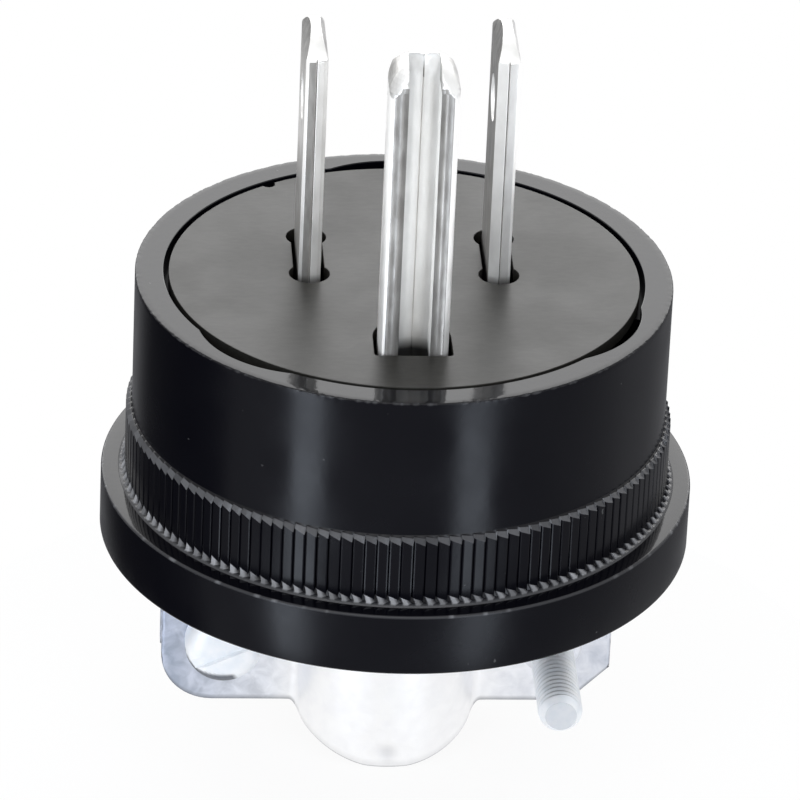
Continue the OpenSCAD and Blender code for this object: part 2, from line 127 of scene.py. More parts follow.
def sky_node(kind, **inputs):
    """A node of the world, with its number or colour sockets set by name."""
    node = sky.nodes.new(kind)
    for socket, value in inputs.items():
        node.inputs[socket.replace("_", " ")].default_value = value
    return node


def combine(tree, operation, first, second):
    """Joins two numbers with a Math node; each is a linked socket or a plain number."""
    node = tree.nodes.new("ShaderNodeMath")
    node.operation = operation
    for socket, value in zip(node.inputs, (first, second)):
        if isinstance(value, float):
            socket.default_value = value
        else:
            tree.links.new(value, socket)
    return node.outputs["Value"]


rays = sky_node("ShaderNodeLightPath").outputs
direction = sky_node("ShaderNodeTexCoord").outputs["Generated"]
height = sky_node("ShaderNodeSeparateXYZ")
half_way = sky_node("ShaderNodeMapRange", From_Min=-1.0, From_Max=1.0)
horizon = sky_node("ShaderNodeValToRGB")
for stop, place in zip(horizon.color_ramp.elements, HORIZON):
    stop.position = place
round_about = sky_node("ShaderNodeTexGradient")
round_about.gradient_type = "RADIAL"
low_part = sky_node("ShaderNodeValToRGB")
stops = low_part.color_ramp.elements
for degrees_round, grey in LOW_GREYS.items():
    place = (degrees_round + 90) / 360
    stop = stops[0] if place == 0 else stops[-1] if place == 1 else stops.new(place)
    stop.color = (*(grey * c for c in COOL), 1)
over_under = sky_node("ShaderNodeMix")
over_under.data_type = "RGBA"
over_under.inputs["B"].default_value = (1, 1, 1, 1)
mirrored = sky_node("ShaderNodeBackground", Strength=1.0)
white = sky_node("ShaderNodeBackground", Color=(1, 1, 1, 1), Strength=1.0)
fill = sky_node("ShaderNodeBackground", Color=(0.97, 0.98, 1, 1), Strength=FILL)
seen_in_metal = combine(sky, "MAXIMUM", rays["Is Glossy Ray"], rays["Is Transmission Ray"])
pick_mirrored = sky_node("ShaderNodeMixShader")
pick_white = sky_node("ShaderNodeMixShader")
out = sky_node("ShaderNodeOutputWorld")
for start, end in (
    (direction, height.inputs["Vector"]),
    (height.outputs["Z"], half_way.inputs["Value"]),
    (half_way.outputs["Result"], horizon.inputs["Fac"]),
    (direction, round_about.inputs["Vector"]),
    (round_about.outputs["Fac"], low_part.inputs["Fac"]),
    (low_part.outputs["Color"], over_under.inputs["A"]),
    (horizon.outputs["Color"], over_under.inputs["Factor"]),
    (over_under.outputs["Result"], mirrored.inputs["Color"]),
    (seen_in_metal, pick_mirrored.inputs["Fac"]),
    (fill.outputs["Background"], pick_mirrored.inputs[1]),
    (mirrored.outputs["Background"], pick_mirrored.inputs[2]),
    (rays["Is Camera Ray"], pick_white.inputs["Fac"]),
    (pick_mirrored.outputs["Shader"], pick_white.inputs[1]),
    (white.outputs["Background"], pick_white.inputs[2]),
    (pick_white.outputs["Shader"], out.inputs["Surface"]),
):
    sky.links.new(start, end)
print("world:", len(sky.nodes), "nodes")

# %% Floor
TABLE_R, TABLE_SIDES, TABLE_DROP = 33.0, 128, 0.02
TABLE_GLOW, TABLE_WHITE = 0.93, (0.9, 0.9, 0.9)


def on_circle(radius, first, last, steps=12):
    """Points on a circle between two angles in degrees."""
    return [(radius * math.cos(a), radius * math.sin(a)) for a in np.radians(np.linspace(first, last, steps))]


def full_circle(radius, steps):
    """Points spaced evenly round a whole circle."""
    return on_circle(radius, 0, 360 - 360 / steps, steps)


table = bpy.data.meshes.new("table")
edge = [(x * MM, y * MM, -TABLE_DROP * MM) for x, y in full_circle(TABLE_R, TABLE_SIDES)]
table.from_pydata(edge, [], [list(range(len(edge)))])
floor = bpy.data.objects.new("floor", table)
scene.collection.objects.link(floor)

paint = bpy.data.materials.new("white_table")
paint.use_nodes = True
tree = paint.node_tree
tree.nodes.remove(tree.nodes["Principled BSDF"])
matt = tree.nodes.new("ShaderNodeBsdfDiffuse")
matt.inputs["Color"].default_value = (*TABLE_WHITE, 1)
glow = tree.nodes.new("ShaderNodeEmission")
rays = tree.nodes.new("ShaderNodeLightPath").outputs
eye_or_metal = combine(tree, "MAXIMUM", rays["Is Camera Ray"], rays["Is Glossy Ray"])
seen = combine(tree, "MAXIMUM", eye_or_metal, rays["Is Transmission Ray"])
blend = tree.nodes.new("ShaderNodeMixShader")
for start, end in (
    (combine(tree, "MULTIPLY", seen, TABLE_GLOW), blend.inputs["Fac"]),
    (matt.outputs["BSDF"], blend.inputs[1]),
    (glow.outputs["Emission"], blend.inputs[2]),
    (blend.outputs["Shader"], tree.nodes["Material Output"].inputs["Surface"]),
):
    tree.links.new(start, end)
table.materials.append(paint)
print("floor: a white table", 2 * TABLE_R, "mm across")

# %% [markdown]
# ## The lamps
# The wall of the plug carries two soft upright bands of light, one left of the middle and one
# right of it. A mirror that is turned by an angle swings its reflection by twice that angle, so
# the bands tell where two tall strip lamps stood. A wide softbox behind the plug lies in the
# flat rim and the fibre disc, which is why they look grey, and a soft one high in front fills the
# rest. Six white cards lie flat round the plug, level with its face and lit from above, where only
# the prongs see them: they draw the white edges along the folded metal.

# %% Lamps
STRIP_UP, STRIP_AWAY, STRIP_WIDE, STRIP_TALL, STRIP_TINT = 4.0, 450, 105, 760, (0.80, 0.88, 1.0)
CARD_Z, CARD_AWAY, CARD_LONG, CARD_GLOW = 34.5, 45.0, 50.0, 1.1
CARD_WIDTHS = {45: 36.0, 90: 36.0, 135: 24.0}


def softbox(name, degrees_round, degrees_up, away, width, tall, glow, colour=(1, 1, 1)):
    """A lamp with a flat face turned to the plug; sizes in mm, glow 1 looks white."""
    lamp = bpy.data.lights.new(name, "AREA")
    lamp.shape = "RECTANGLE"
    lamp.size, lamp.size_y = width * MM, tall * MM
    lamp.energy = math.pi * lamp.size * lamp.size_y * glow
    lamp.color = colour
    stand = bpy.data.objects.new(name, lamp)
    scene.collection.objects.link(stand)
    facing = towards(degrees_round, degrees_up)
    stand.location = AIM + away * MM * facing
    stand.rotation_euler = facing.to_track_quat("Z", "Y").to_euler()
    stand.visible_camera = False
    print(f"{name}: {lamp.energy:.2f} W")
    return stand


for name, degrees_round, bright in (("left_strip", -42.0, 5.2), ("right_strip", 28.5, 4.4)):
    softbox(name, degrees_round, STRIP_UP, STRIP_AWAY, STRIP_WIDE, STRIP_TALL, bright, STRIP_TINT)
softbox("back_box", 180.0, 28.0, 600, 900, 420, 2.75)
softbox("top_box", -10.0, 56.0, 600, 500, 500, 1.3)
for degrees_round in (-135, -90, -45, 45, 90, 135):
    side, wide = "left" if degrees_round < 0 else "right", CARD_WIDTHS[abs(degrees_round)]
    name = f"{side}_card_{abs(degrees_round)}"
    card = softbox(name, degrees_round, 0, CARD_AWAY, wide, CARD_LONG, CARD_GLOW)
    card.location.z = CARD_Z * MM
    card.rotation_euler = (math.pi, 0, math.radians(degrees_round))

# %% [markdown]
# ## Tools for finishes
# Each finish is a Principled shader whose colour, gloss and relief vary a little over the piece.
# The variation comes from noise in the space of the object, so it needs no unwrapping and stays
# put when the camera moves. Sizes of grain are given in millimetres, so that they can be judged.
# A mesh can also carry numbers of its own, such as how worn each point is, and a finish reads
# them by name.

# %% Finish helpers


def new_finish(name, colour, metallic, roughness, ior=1.5):
    """A material with its Principled shader, ready for detail."""
    finish = bpy.data.materials.new(name)
    finish.use_nodes = True
    surface = finish.node_tree.nodes["Principled BSDF"]
    surface.inputs["Base Color"].default_value = (*colour, 1)
    surface.inputs["Metallic"].default_value = metallic
    surface.inputs["Roughness"].default_value = roughness
    surface.inputs["IOR"].default_value = ior
    return finish, surface


def feed(finish, source, node, socket):
    """Links a pattern to one socket of a node."""
    finish.node_tree.links.new(source, node.inputs[socket])


def grain(finish, size, stretch=(1, 1, 1), detail=3.0, distortion=0.0):
    """Noise with grains of about size mm, drawn out along an axis by stretch."""
    nodes = finish.node_tree.nodes
    scale = nodes.new("ShaderNodeMapping")
    noise = nodes.new("ShaderNodeTexNoise")
    scale.inputs["Scale"].default_value = [1 / (size * MM * s) for s in stretch]
    noise.inputs["Scale"].default_value = 1.0
    noise.inputs["Detail"].default_value = detail
    noise.inputs["Distortion"].default_value = distortion
    feed(finish, nodes.new("ShaderNodeTexCoord").outputs["Object"], scale, "Vector")
    feed(finish, scale.outputs["Vector"], noise, "Vector")
    return noise.outputs["Fac"]


def marked(finish, name):
    """The numbers that a mesh carries under a name."""
    mark = finish.node_tree.nodes.new("ShaderNodeAttribute")
    mark.attribute_name = name
    return mark.outputs["Fac"]


def along(finish, axis):
    """How far along an axis each point of the object lies, in metres."""
    split = finish.node_tree.nodes.new("ShaderNodeSeparateXYZ")
    feed(finish, finish.node_tree.nodes.new("ShaderNodeTexCoord").outputs["Object"], split, "Vector")
    return split.outputs[axis]


def between(finish, source, low, high, start=0.35, end=0.65):
    """Turns a grey pattern into numbers from low to high."""
    scale = finish.node_tree.nodes.new("ShaderNodeMapRange")
    for socket, value in zip(("From Min", "From Max", "To Min", "To Max"), (start, end, low, high)):
        scale.inputs[socket].default_value = value
    feed(finish, source, scale, "Value")
    return scale.outputs["Result"]


def stain(finish, source, first, second, start=0.35, end=0.65):
    """Turns a grey pattern into a colour between two."""
    ramp = finish.node_tree.nodes.new("ShaderNodeValToRGB")
    for stop, place, colour in zip(ramp.color_ramp.elements, (start, end), (first, second)):
        stop.position, stop.color = place, (*colour, 1)
    feed(finish, source, ramp, "Fac")
    return ramp.outputs["Color"]


def layer(finish, under, over, factor):
    """Lays a colour, or a linked one, over another as strongly as factor says."""
    mix = finish.node_tree.nodes.new("ShaderNodeMix")
    mix.data_type = "RGBA"
    feed(finish, factor, mix, "Factor")
    feed(finish, under, mix, "A")
    if isinstance(over, tuple):
        mix.inputs["B"].default_value = (*over, 1)
    else:
        feed(finish, over, mix, "B")
    return mix.outputs["Result"]


def relief(finish, surface, source, depth):
    """Presses a pattern into the surface, depth in mm; a second call adds to the first."""
    bump = finish.node_tree.nodes.new("ShaderNodeBump")
    bump.inputs["Strength"].default_value = 1.0
    bump.inputs["Distance"].default_value = depth * MM
    feed(finish, source, bump, "Height")
    if surface.inputs["Normal"].is_linked:
        feed(finish, surface.inputs["Normal"].links[0].from_socket, bump, "Normal")
    feed(finish, bump.outputs["Normal"], surface, "Normal")


print("finish helpers ready")

# %% [markdown]
# ## Black phenolic
# The body is pressed from phenolic powder: hard, nearly black, with a gloss that the mould gives
# and handling dulls. One noise varies the gloss in cloudy patches, a fine one ripples the skin,
# and a third, cut off high, leaves the odd pale fleck of filler and dust. Worn edges show the
# grey filler below the skin. The same grey is laid on as painted highlight at the foot of the knurl,
# on the slanted ends of its teeth and along the flange edge: the mesh of the body will carry a
# number called worn_and_highlit at each point. A second number, sheltered, takes the gloss away
# inside the cup, which no hand has polished, and a third one, polished, adds to it on the flat
# tops, which mirror their neighbours sharply.

# %% Black phenolic
BLACK, FLECK, FILLER_AND_HIGHLIGHT_GREY = (0.0018, 0.0018, 0.0035), (0.06, 0.06, 0.06), (0.30, 0.30, 0.31)
MIRROR, SKIN_SHINE, CUP_SHINE = 0.35, 0.5, 0.02
phenolic, skin = new_finish("black_phenolic", BLACK, 0.0, 0.2, ior=1.3)
clouds = between(phenolic, grain(phenolic, 6.0, detail=4.0), 0.16, 0.28)
smoother = between(phenolic, marked(phenolic, "polished"), 1.0, MIRROR, 0.0, 1.0)
feed(phenolic, combine(phenolic.node_tree, "MULTIPLY", clouds, smoother), skin, "Roughness")
speckled = stain(phenolic, grain(phenolic, 0.45, detail=1.0), BLACK, FLECK, 0.80, 0.84)
# Painted highlight and wear: where the mesh carries worn_and_highlit, the filler grey is laid over the black.
feed(phenolic, layer(phenolic, speckled, FILLER_AND_HIGHLIGHT_GREY, marked(phenolic, "worn_and_highlit")), skin, "Base Color")
shine = between(phenolic, marked(phenolic, "sheltered"), SKIN_SHINE, CUP_SHINE, 0.0, 1.0)
feed(phenolic, shine, skin, "Specular IOR Level")
relief(phenolic, skin, grain(phenolic, 0.5, detail=2.0), 0.003)
print("black_phenolic:", len(phenolic.node_tree.nodes), "nodes")

# %% [markdown]
# ## Grey fibre
# The disc is punched from vulcanised fibre, a hard sheet made of layers of paper. It is satin
# rather than glossy, a little brown, and has a fine lay of fibres in one direction.

# %% Grey fibre
fibre, sheet = new_finish("grey_fibre", (0.022, 0.021, 0.019), 0.0, 0.36, ior=1.31)
lay = grain(fibre, 0.3, stretch=(2.5, 1, 1), detail=4.0, distortion=0.4)
feed(fibre, stain(fibre, lay, (0.018, 0.017, 0.015), (0.026, 0.025, 0.022)), sheet, "Base Color")
feed(fibre, between(fibre, grain(fibre, 4.0, detail=5.0), 0.32, 0.40), sheet, "Roughness")
relief(fibre, sheet, lay, 0.0015)
print("grey_fibre:", len(fibre.node_tree.nodes), "nodes")

# %% [markdown]
# ## Plated brass
# The prongs are folded from brass sheet with a bright nickel plating. Drawing the strip through
# the dies leaves fine lines along the prong, and the plating is a bit duller in patches, so the
# noise is stretched along Z by a large factor. Faces that have rubbed in many sockets are grey and
# scuffed. The same grey is painted as shade on the faces turned to the left and on one leaf of
# some fronts: the meshes will carry a number called rubbed. Hardly any light gets in
# below the disc, so the colour fades to black over the thickness of the disc.

# %% Plated brass
SCUFF_AND_SHADE_GREY, IN_THE_DARK, DARKEST = (0.235, 0.227, 0.214), (0.01, 0.01, 0.01), 0.95
DARK_FROM, DARK_TO = 33.4, 34.3
plated, plate = new_finish("plated_brass", (0.86, 0.85, 0.83), 0.5, 0.4)
lines = grain(plated, 0.14, stretch=(1, 1, 30))
dull = grain(plated, 1.2, stretch=(1, 1, 2), detail=5.0)
scuffs = between(plated, grain(plated, 0.5, stretch=(1, 1, 4), detail=4.0), 0.78, 1.0)
# Painted shade and scuffs: the grey goes where the mesh carries rubbed, broken by the scuff noise.
scuff_and_shade_mask = combine(plated.node_tree, "MULTIPLY", marked(plated, "rubbed"), scuffs)
bright_plate = stain(plated, dull, (0.82, 0.81, 0.785), (0.91, 0.90, 0.875))
scuffed_and_shaded_plate = layer(plated, bright_plate, SCUFF_AND_SHADE_GREY, scuff_and_shade_mask)
below_disc = between(plated, along(plated, "Z"), DARKEST, 0.0, DARK_FROM * MM, DARK_TO * MM)
feed(plated, layer(plated, scuffed_and_shaded_plate, IN_THE_DARK, below_disc), plate, "Base Color")
feed(plated, between(plated, dull, 0.32, 0.46), plate, "Roughness")
relief(plated, plate, lines, 0.0015)
relief(plated, plate, grain(plated, 0.5, detail=2.0), 0.002)
print("plated_brass:", len(plated.node_tree.nodes), "nodes")

# %% [markdown]
# ## Zinc-plated steel
# The clamp halves are stamped from steel and tumble-plated with zinc, then dipped in a clear blue
# passivation. The sleeve is bright and nearly white, and the colour turns darker, cloudier and
# bluer towards the ends of the ears. So two colour ramps run along X, a lighter and a darker one,
# and the mottle picks between them. Painted shade darkens the lower edges and the dimple of the
# sleeve, where the mesh of a half will carry a number called edge.

# %% Zinc plating
PAINTED_EDGE_SHADE = (0.14, 0.15, 0.17)
RAMP_END = 16.0
LIGHT_RAMP = {0.0: (0.52, 0.57, 0.70), 0.24: (0.84, 0.86, 0.91), 0.31: (0.97, 0.97, 0.97),
              0.68: (0.97, 0.97, 0.98), 0.74: (0.90, 0.91, 0.94), 1.0: (0.72, 0.74, 0.80)}
DARK_RAMP = {0.0: (0.33, 0.38, 0.48), 0.24: (0.62, 0.64, 0.69), 0.31: (0.93, 0.93, 0.94),
             0.68: (0.93, 0.93, 0.94), 0.74: (0.78, 0.79, 0.83), 1.0: (0.50, 0.53, 0.60)}
zinc, coat = new_finish("zinc_steel", (0.80, 0.82, 0.86), 1.0, 0.38)
mottle = grain(zinc, 1.1, detail=6.0, distortion=0.5)
across_clamp = between(zinc, along(zinc, "X"), 0.0, 1.0, -RAMP_END * MM, RAMP_END * MM)


def ramp_along_x(tints):
    """A colour ramp along the clamp, from places between 0 and 1 to colours."""
    places = sorted(tints)
    colour = stain(zinc, across_clamp, tints[places[0]], tints[places[-1]], places[0], places[-1])
    for place in places[1:-1]:
        colour.node.color_ramp.elements.new(place).color = (*tints[place], 1)
    return colour


def shade_painted_edges(finish, clean):
    """Paints shade into a colour where the mesh is marked as an edge."""
    return layer(finish, clean, PAINTED_EDGE_SHADE, marked(finish, "edge"))


mottled_ramps = layer(zinc, ramp_along_x(DARK_RAMP), ramp_along_x(LIGHT_RAMP), between(zinc, mottle, 0.0, 1.0))
# Painted shade: the colour darkens where a half is marked as an edge.
feed(zinc, shade_painted_edges(zinc, mottled_ramps), coat, "Base Color")
feed(zinc, between(zinc, grain(zinc, 0.7, detail=4.0), 0.34, 0.46), coat, "Roughness")
relief(zinc, coat, mottle, 0.006)
relief(zinc, coat, grain(zinc, 0.25, detail=2.0), 0.003)
print("zinc_steel:", len(zinc.node_tree.nodes), "nodes")

# %% [markdown]
# ## From numbers to a piece
# Most pieces here start as lists of points and faces. Loops of points that follow one another are
# joined by four-sided faces. One helper turns a mesh into an object: it welds points that fall
# together, shades the piece smooth except at real corners, hides the CAD node that it stands for
# and hangs the piece on the root body. Its Weighted Normal modifier lets large faces rule the
# shading, so that a flat face looks flat right up to its soft edge.

# %% Piece helpers
WELD, SHADING_WEIGHT = 0.001, 90


def mesh_from(points, faces):
    """A mesh from points in mm and faces as lists of point numbers."""
    mesh = bpy.data.meshes.new("raw")
    mesh.from_pydata([[float(v) * MM for v in p] for p in points], [], [list(map(int, f)) for f in faces])
    return mesh


def join_loops(first, loops, around, closed=False):
    """Faces between loops of points that start at point number first; closed joins last to first."""
    made = []
    for i in range(loops if closed else loops - 1):
        here, there = first + i * around, first + (i + 1) % loops * around
        for j in range(around):
            k = (j + 1) % around
            made.append((here + j, here + k, there + k, there + j))
    return made


def add_prism(points, faces, one_end, other_end):
    """Adds a straight solid between two equal outlines to lists of points and faces."""
    first, n = len(points), len(one_end)
    points += [*one_end, *other_end]
    faces += [tuple(range(first, first + n)), tuple(range(first + n, first + 2 * n))]
    faces += join_loops(first, 2, n)


def upright(outline, low, high):
    """A flat outline at two heights."""
    return [[(x, y, z) for x, y in outline] for z in (low, high)]


def carry(mesh, name, values, domain="POINT"):
    """Lets a mesh carry a number under a name at each point, or on each face."""
    mesh.attributes.new(name, "FLOAT", domain).data.foreach_set("value", values)


def faces_out(mesh, weld=0.0):
    """Turns all faces of a mesh outwards, after welding points that lie closer than weld mm."""
    work = bmesh.new()
    work.from_mesh(mesh)
    if weld:
        bmesh.ops.remove_doubles(work, verts=work.verts, dist=weld * MM)
        bmesh.ops.dissolve_degenerate(work, edges=work.edges, dist=weld * MM)
    bmesh.ops.recalc_face_normals(work, faces=work.faces)
    work.to_mesh(mesh)
    work.free()


def make_piece(name, mesh, node, finish, corner=35.0):
    """Welds and finishes a mesh as the piece that replaces one CAD node."""
    mesh.name = name
    faces_out(mesh, WELD)
    mesh.shade_smooth()
    mesh.set_sharp_from_angle(angle=math.radians(corner))
    mesh.materials.clear()
    mesh.materials.append(finish)
    piece = bpy.data.objects.new(name, mesh)
    scene.collection.objects.link(piece)
    even = piece.modifiers.new("even_shading", "WEIGHTED_NORMAL")
    even.keep_sharp, even.weight = True, SHADING_WEIGHT
    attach(piece, "root")
    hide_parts(node)
    mesh.calc_loop_triangles()
    print(f"{name}: {len(mesh.loop_triangles)} triangles, replaces {node}")


print("piece helpers ready")

# %% [markdown]
# ## The moulded body
# The real body comes out of a round mould, so it is nearly a turned form: a flange, a knurled
# band, a plain wall and a rim. The Screw modifier could turn a profile, but the knurl, the three
# scallops in the rim and the slightly uneven edge all change with the angle. A grid does it all:
# each row is a ring with its own radius and height at every column, and six columns make a tooth.
# The teeth are broad with narrow grooves, so the columns stand close together at a groove.

# %% Body rings
TEETH = 144
TOOTH_AT = (0.0, 0.07, 0.16, 0.5, 0.84, 0.93)
TOOTH = (0.0, 0.85, 1.0, 1.0, 1.0, 0.85)
WEDGE = (0.0, 0.3, 1.0, 1.0, 0.0, 0.0)
AROUND = TEETH * len(TOOTH)
FOOT_TWIST = 0.2
EDGE_STEPS = 5
turn = np.linspace(0, 2 * np.pi, AROUND, endpoint=False)
across_tooth = np.tile(TOOTH_AT, TEETH)
tooth_turn = 2 * np.pi * (np.repeat(np.arange(TEETH), len(TOOTH)) + across_tooth) / TEETH
foot_turn = tooth_turn + 2 * np.pi * FOOT_TWIST / TEETH
tooth, wedge = np.tile(TOOTH, TEETH), np.tile(WEDGE, TEETH)
rings, wear_and_highlight_rings = [], []


def ring(radius, z, wear=0.0, angle=turn):
    """Adds one ring of the body; radius, z, wear and angle may change round it."""
    radius, z = radius + 0 * turn, z + 0 * turn
    rings.append(np.stack([radius * np.cos(angle), radius * np.sin(angle), z], axis=1))
    wear_and_highlight_rings.append(wear + 0 * turn)


def rounded(centre_r, centre_z, size, first, last, wear=0.0):
    """Rings along a round edge, from one angle of its section to another, with the grey of wear and painted
    highlight greatest midway.
    """
    for i, a in enumerate(np.radians(np.linspace(first, last, EDGE_STEPS + 1))):
        midway = np.sin(np.pi * i / EDGE_STEPS)
        ring(centre_r + size * np.cos(a), centre_z + size * np.sin(a), wear * midway)


def off_from(middle):
    """Angle of each column from a place round the body, in degrees from -180 to 180."""
    return (np.degrees(turn) - middle + 180) % 360 - 180


def wander(size, waves, seed):
    """A smooth uneven line round the body, between about -size and +size."""
    rng = np.random.default_rng(seed)
    total = sum(np.sin(n * turn + rng.uniform(0, 2 * np.pi)) * rng.uniform(0.3, 1) for n in waves)
    return size * total / np.abs(total).max()


def chips(number, widest, seed):
    """Chips of an edge: smooth bumps of height 0 to 1 at random places, widths in degrees."""
    rng = np.random.default_rng(seed)
    middles, widths = rng.uniform(0, 360, number), rng.uniform(0.3, widest, number)
    total = 0 * turn
    for middle, wide, tall in zip(middles, widths, rng.uniform(0.2, 1, number)):
        total = np.maximum(total, tall * np.clip(1 - (np.abs(off_from(middle)) / wide)**2, 0, 1))
    return total


luck = np.random.default_rng(5)


def per_tooth(low, high):
    """One random number for each tooth, repeated over its columns."""
    return np.repeat(luck.uniform(low, high, TEETH), len(TOOTH))


print("a ring has", AROUND, "points for", TEETH, "teeth")

# %% [markdown]
# The rings now climb the outside of the body, from the hole for the cord to the rim. Both ends of
# a tooth were cut at a slant, so it shows a small facet at the top and a leaning wedge at its
# foot, which comes from twisting the lower rings by a part of a tooth. Facets and wedges are made
# pale with worn filler and painted highlight, and so are the foot of the knurl and the flange edge.
# Two rings a hair apart keep an edge sharp.

# %% Outside of the body
NECK_Z, FLANGE_Z, KNURL_Z, WALL_Z, FACE_Z = 12.6, 15.2, 19.6, 24.6, 34.4
FLANGE_R, WALL_R, NECK_R, CORD_R = 20.0, 18.0, 10.6, 7.4
KNURL_ROOT, KNURL_TIP, KNURL_RUB, KNURL_LEAN = 18.06, 18.42, 0.02, 0.004
FLANGE_EDGE, FLANGE_EDGE_HIGHLIGHT, FLANGE_CHIPPED = 0.2, 0.10, 0.4
FOOT_REACH, FOOT_HIGHLIGHT = 0.42, 0.16
FACET_TOP, FACET_TOP_FALL, FACET_LOW, FACET_LOW_FALL = 0.05, 0.12, 0.18, 0.38
WEDGE_TOP, WEDGE_FALL, WEDGE_OUT, WEDGE_BARE = 0.64, 0.34, 0.2, 0.92
RIM_EDGE, RIM_UNEVEN, RIM_CHIP, RIM_WORN = 0.12, 0.025, 0.08, 0.15
CORD_CUT, HAIR, BESIDE_RIM = 0.3, 0.03, 0.5

groove = (1 - tooth) * per_tooth(0.30, 0.55)
lean = KNURL_LEAN * (across_tooth - 0.5) * per_tooth(-1, 1)
knurl = KNURL_TIP - KNURL_RUB - (KNURL_TIP - KNURL_ROOT) * groove + lean
facet_high = WALL_Z - FACET_TOP - FACET_TOP_FALL * across_tooth
facet_low = WALL_Z - FACET_LOW - FACET_LOW_FALL * across_tooth - per_tooth(0.0, 0.05)
# Painted highlight with wear: the slanted facets and the wedges are lightened with the filler grey.
facet_wear_and_highlight = per_tooth(0.16, 0.34)
wedge_high = KNURL_Z + WEDGE_TOP - WEDGE_FALL * across_tooth - per_tooth(0.0, 0.12)
wedge_wear_and_highlight = wedge * np.where(per_tooth(0, 1) > WEDGE_BARE, 1.0, per_tooth(0.4, 0.8))
# The flange edge gets a thin painted highlight all round, with chips of wear on it.
flange_highlight_and_chips = FLANGE_EDGE_HIGHLIGHT + FLANGE_CHIPPED * chips(50, 0.9, 4)
rim_chips = chips(260, 1.2, 8)
uneven_rim = RIM_EDGE + wander(RIM_UNEVEN, range(40, 190, 7), 3) + RIM_CHIP * rim_chips

ring(CORD_R, NECK_Z + CORD_CUT)
ring(CORD_R + CORD_CUT, NECK_Z)
ring(NECK_R - 0.1, NECK_Z)
ring(NECK_R + 0.15, NECK_Z + 0.06)
rounded(FLANGE_R - FLANGE_EDGE, FLANGE_Z + FLANGE_EDGE, FLANGE_EDGE, -80, 0)
ring(FLANGE_R, (FLANGE_Z + KNURL_Z) / 2)
rounded(FLANGE_R - FLANGE_EDGE, KNURL_Z - FLANGE_EDGE, FLANGE_EDGE, 0, 90, flange_highlight_and_chips)
ring(KNURL_TIP + FOOT_REACH, KNURL_Z, 0.0, foot_turn)
# The foot of the knurl carries a painted highlight all round.
ring(KNURL_TIP + FOOT_REACH - HAIR, KNURL_Z + HAIR, FOOT_HIGHLIGHT, foot_turn)
ring(KNURL_TIP + FOOT_REACH - 0.12, KNURL_Z + 0.10, FOOT_HIGHLIGHT, foot_turn)
ring(KNURL_TIP + 0.02 + WEDGE_OUT * wedge, KNURL_Z + 0.18, wedge_wear_and_highlight, foot_turn)
ring(knurl + 0.02 * wedge, wedge_high, wedge_wear_and_highlight, tooth_turn)
ring(knurl, wedge_high + HAIR, 0.0, tooth_turn)
ring(knurl, facet_low - HAIR, 0.0, tooth_turn)
ring(knurl, facet_low, facet_wear_and_highlight, tooth_turn)
ring(WALL_R + 0.14 - 0.04 * (1 - tooth), facet_high, facet_wear_and_highlight, tooth_turn)
ring(WALL_R + 0.10 - 0.03 * (1 - tooth), facet_high + 0.02, 0.0, tooth_turn)
ring(WALL_R + 0.02, WALL_Z)
ring(WALL_R, WALL_Z + HAIR)
ring(WALL_R, (WALL_Z + FACE_Z) / 2)
ring(WALL_R, FACE_Z - BESIDE_RIM)
rounded(WALL_R - uneven_rim, FACE_Z - uneven_rim, uneven_rim, 0, 90, RIM_WORN * rim_chips**2)
ring(WALL_R - BESIDE_RIM, FACE_Z)
print("body: outside has", len(rings), "rings of", AROUND, "points")

# %% [markdown]
# The rim has three scallops, by which a screwdriver lifts the disc. In a grid they are only a
# change of radius: where a smaller circle, set off to one side, reaches further out than the
# pocket, the wall follows that circle, and the ledge below it drops away.

# %% Pocket, scallops and chamber
POCKET_R, CHAMBER_R, LEDGE_Z, FLOOR_Z = 16.1, 14.8, 33.45, 15.4
SCALLOP_R, SCALLOP_Z, SCALLOP_WIDE = 16.8, 30.4, 30.0
SCALLOPS = (-135.0, -31.0, 90.0)
half_wide = math.radians(SCALLOP_WIDE / 2)
scallop_mid = (SCALLOP_R**2 - POCKET_R**2) / 2 / (SCALLOP_R - POCKET_R * math.cos(half_wide))
scallop_r = SCALLOP_R - scallop_mid
pocket = POCKET_R + 0 * turn
for middle in SCALLOPS:
    off = np.radians(off_from(middle))
    beyond = np.sqrt(np.maximum(0, scallop_r**2 - (scallop_mid * np.sin(off)) ** 2))
    reach = scallop_mid * np.cos(off) + beyond
    pocket = np.where(np.abs(off) < half_wide, np.maximum(pocket, reach), pocket)
ledge = np.where(pocket > POCKET_R, SCALLOP_Z, LEDGE_Z)

ring(pocket + 0.06, FACE_Z)
ring(pocket + 0.02, FACE_Z - 0.02)
ring(pocket, FACE_Z - 0.06)
sheltered_from = len(rings)
ring(pocket, FACE_Z - 0.10)
ring(pocket, ledge)
ring(CHAMBER_R, ledge)
ring(CHAMBER_R, FLOOR_Z)
ring(CORD_R + 0.2, FLOOR_Z)
ring(CORD_R, FLOOR_Z - 0.2)
print("body: all", len(rings), "rings, scallop columns", int((pocket > POCKET_R).sum()))

# %% [markdown]
# Inside stand the posts that carry the feet of the prongs. They are moulded in one with the
# wall, so they go into the same mesh, as simple prisms that reach a little into it. The mesh then
# gets the three numbers that the finish asks for.

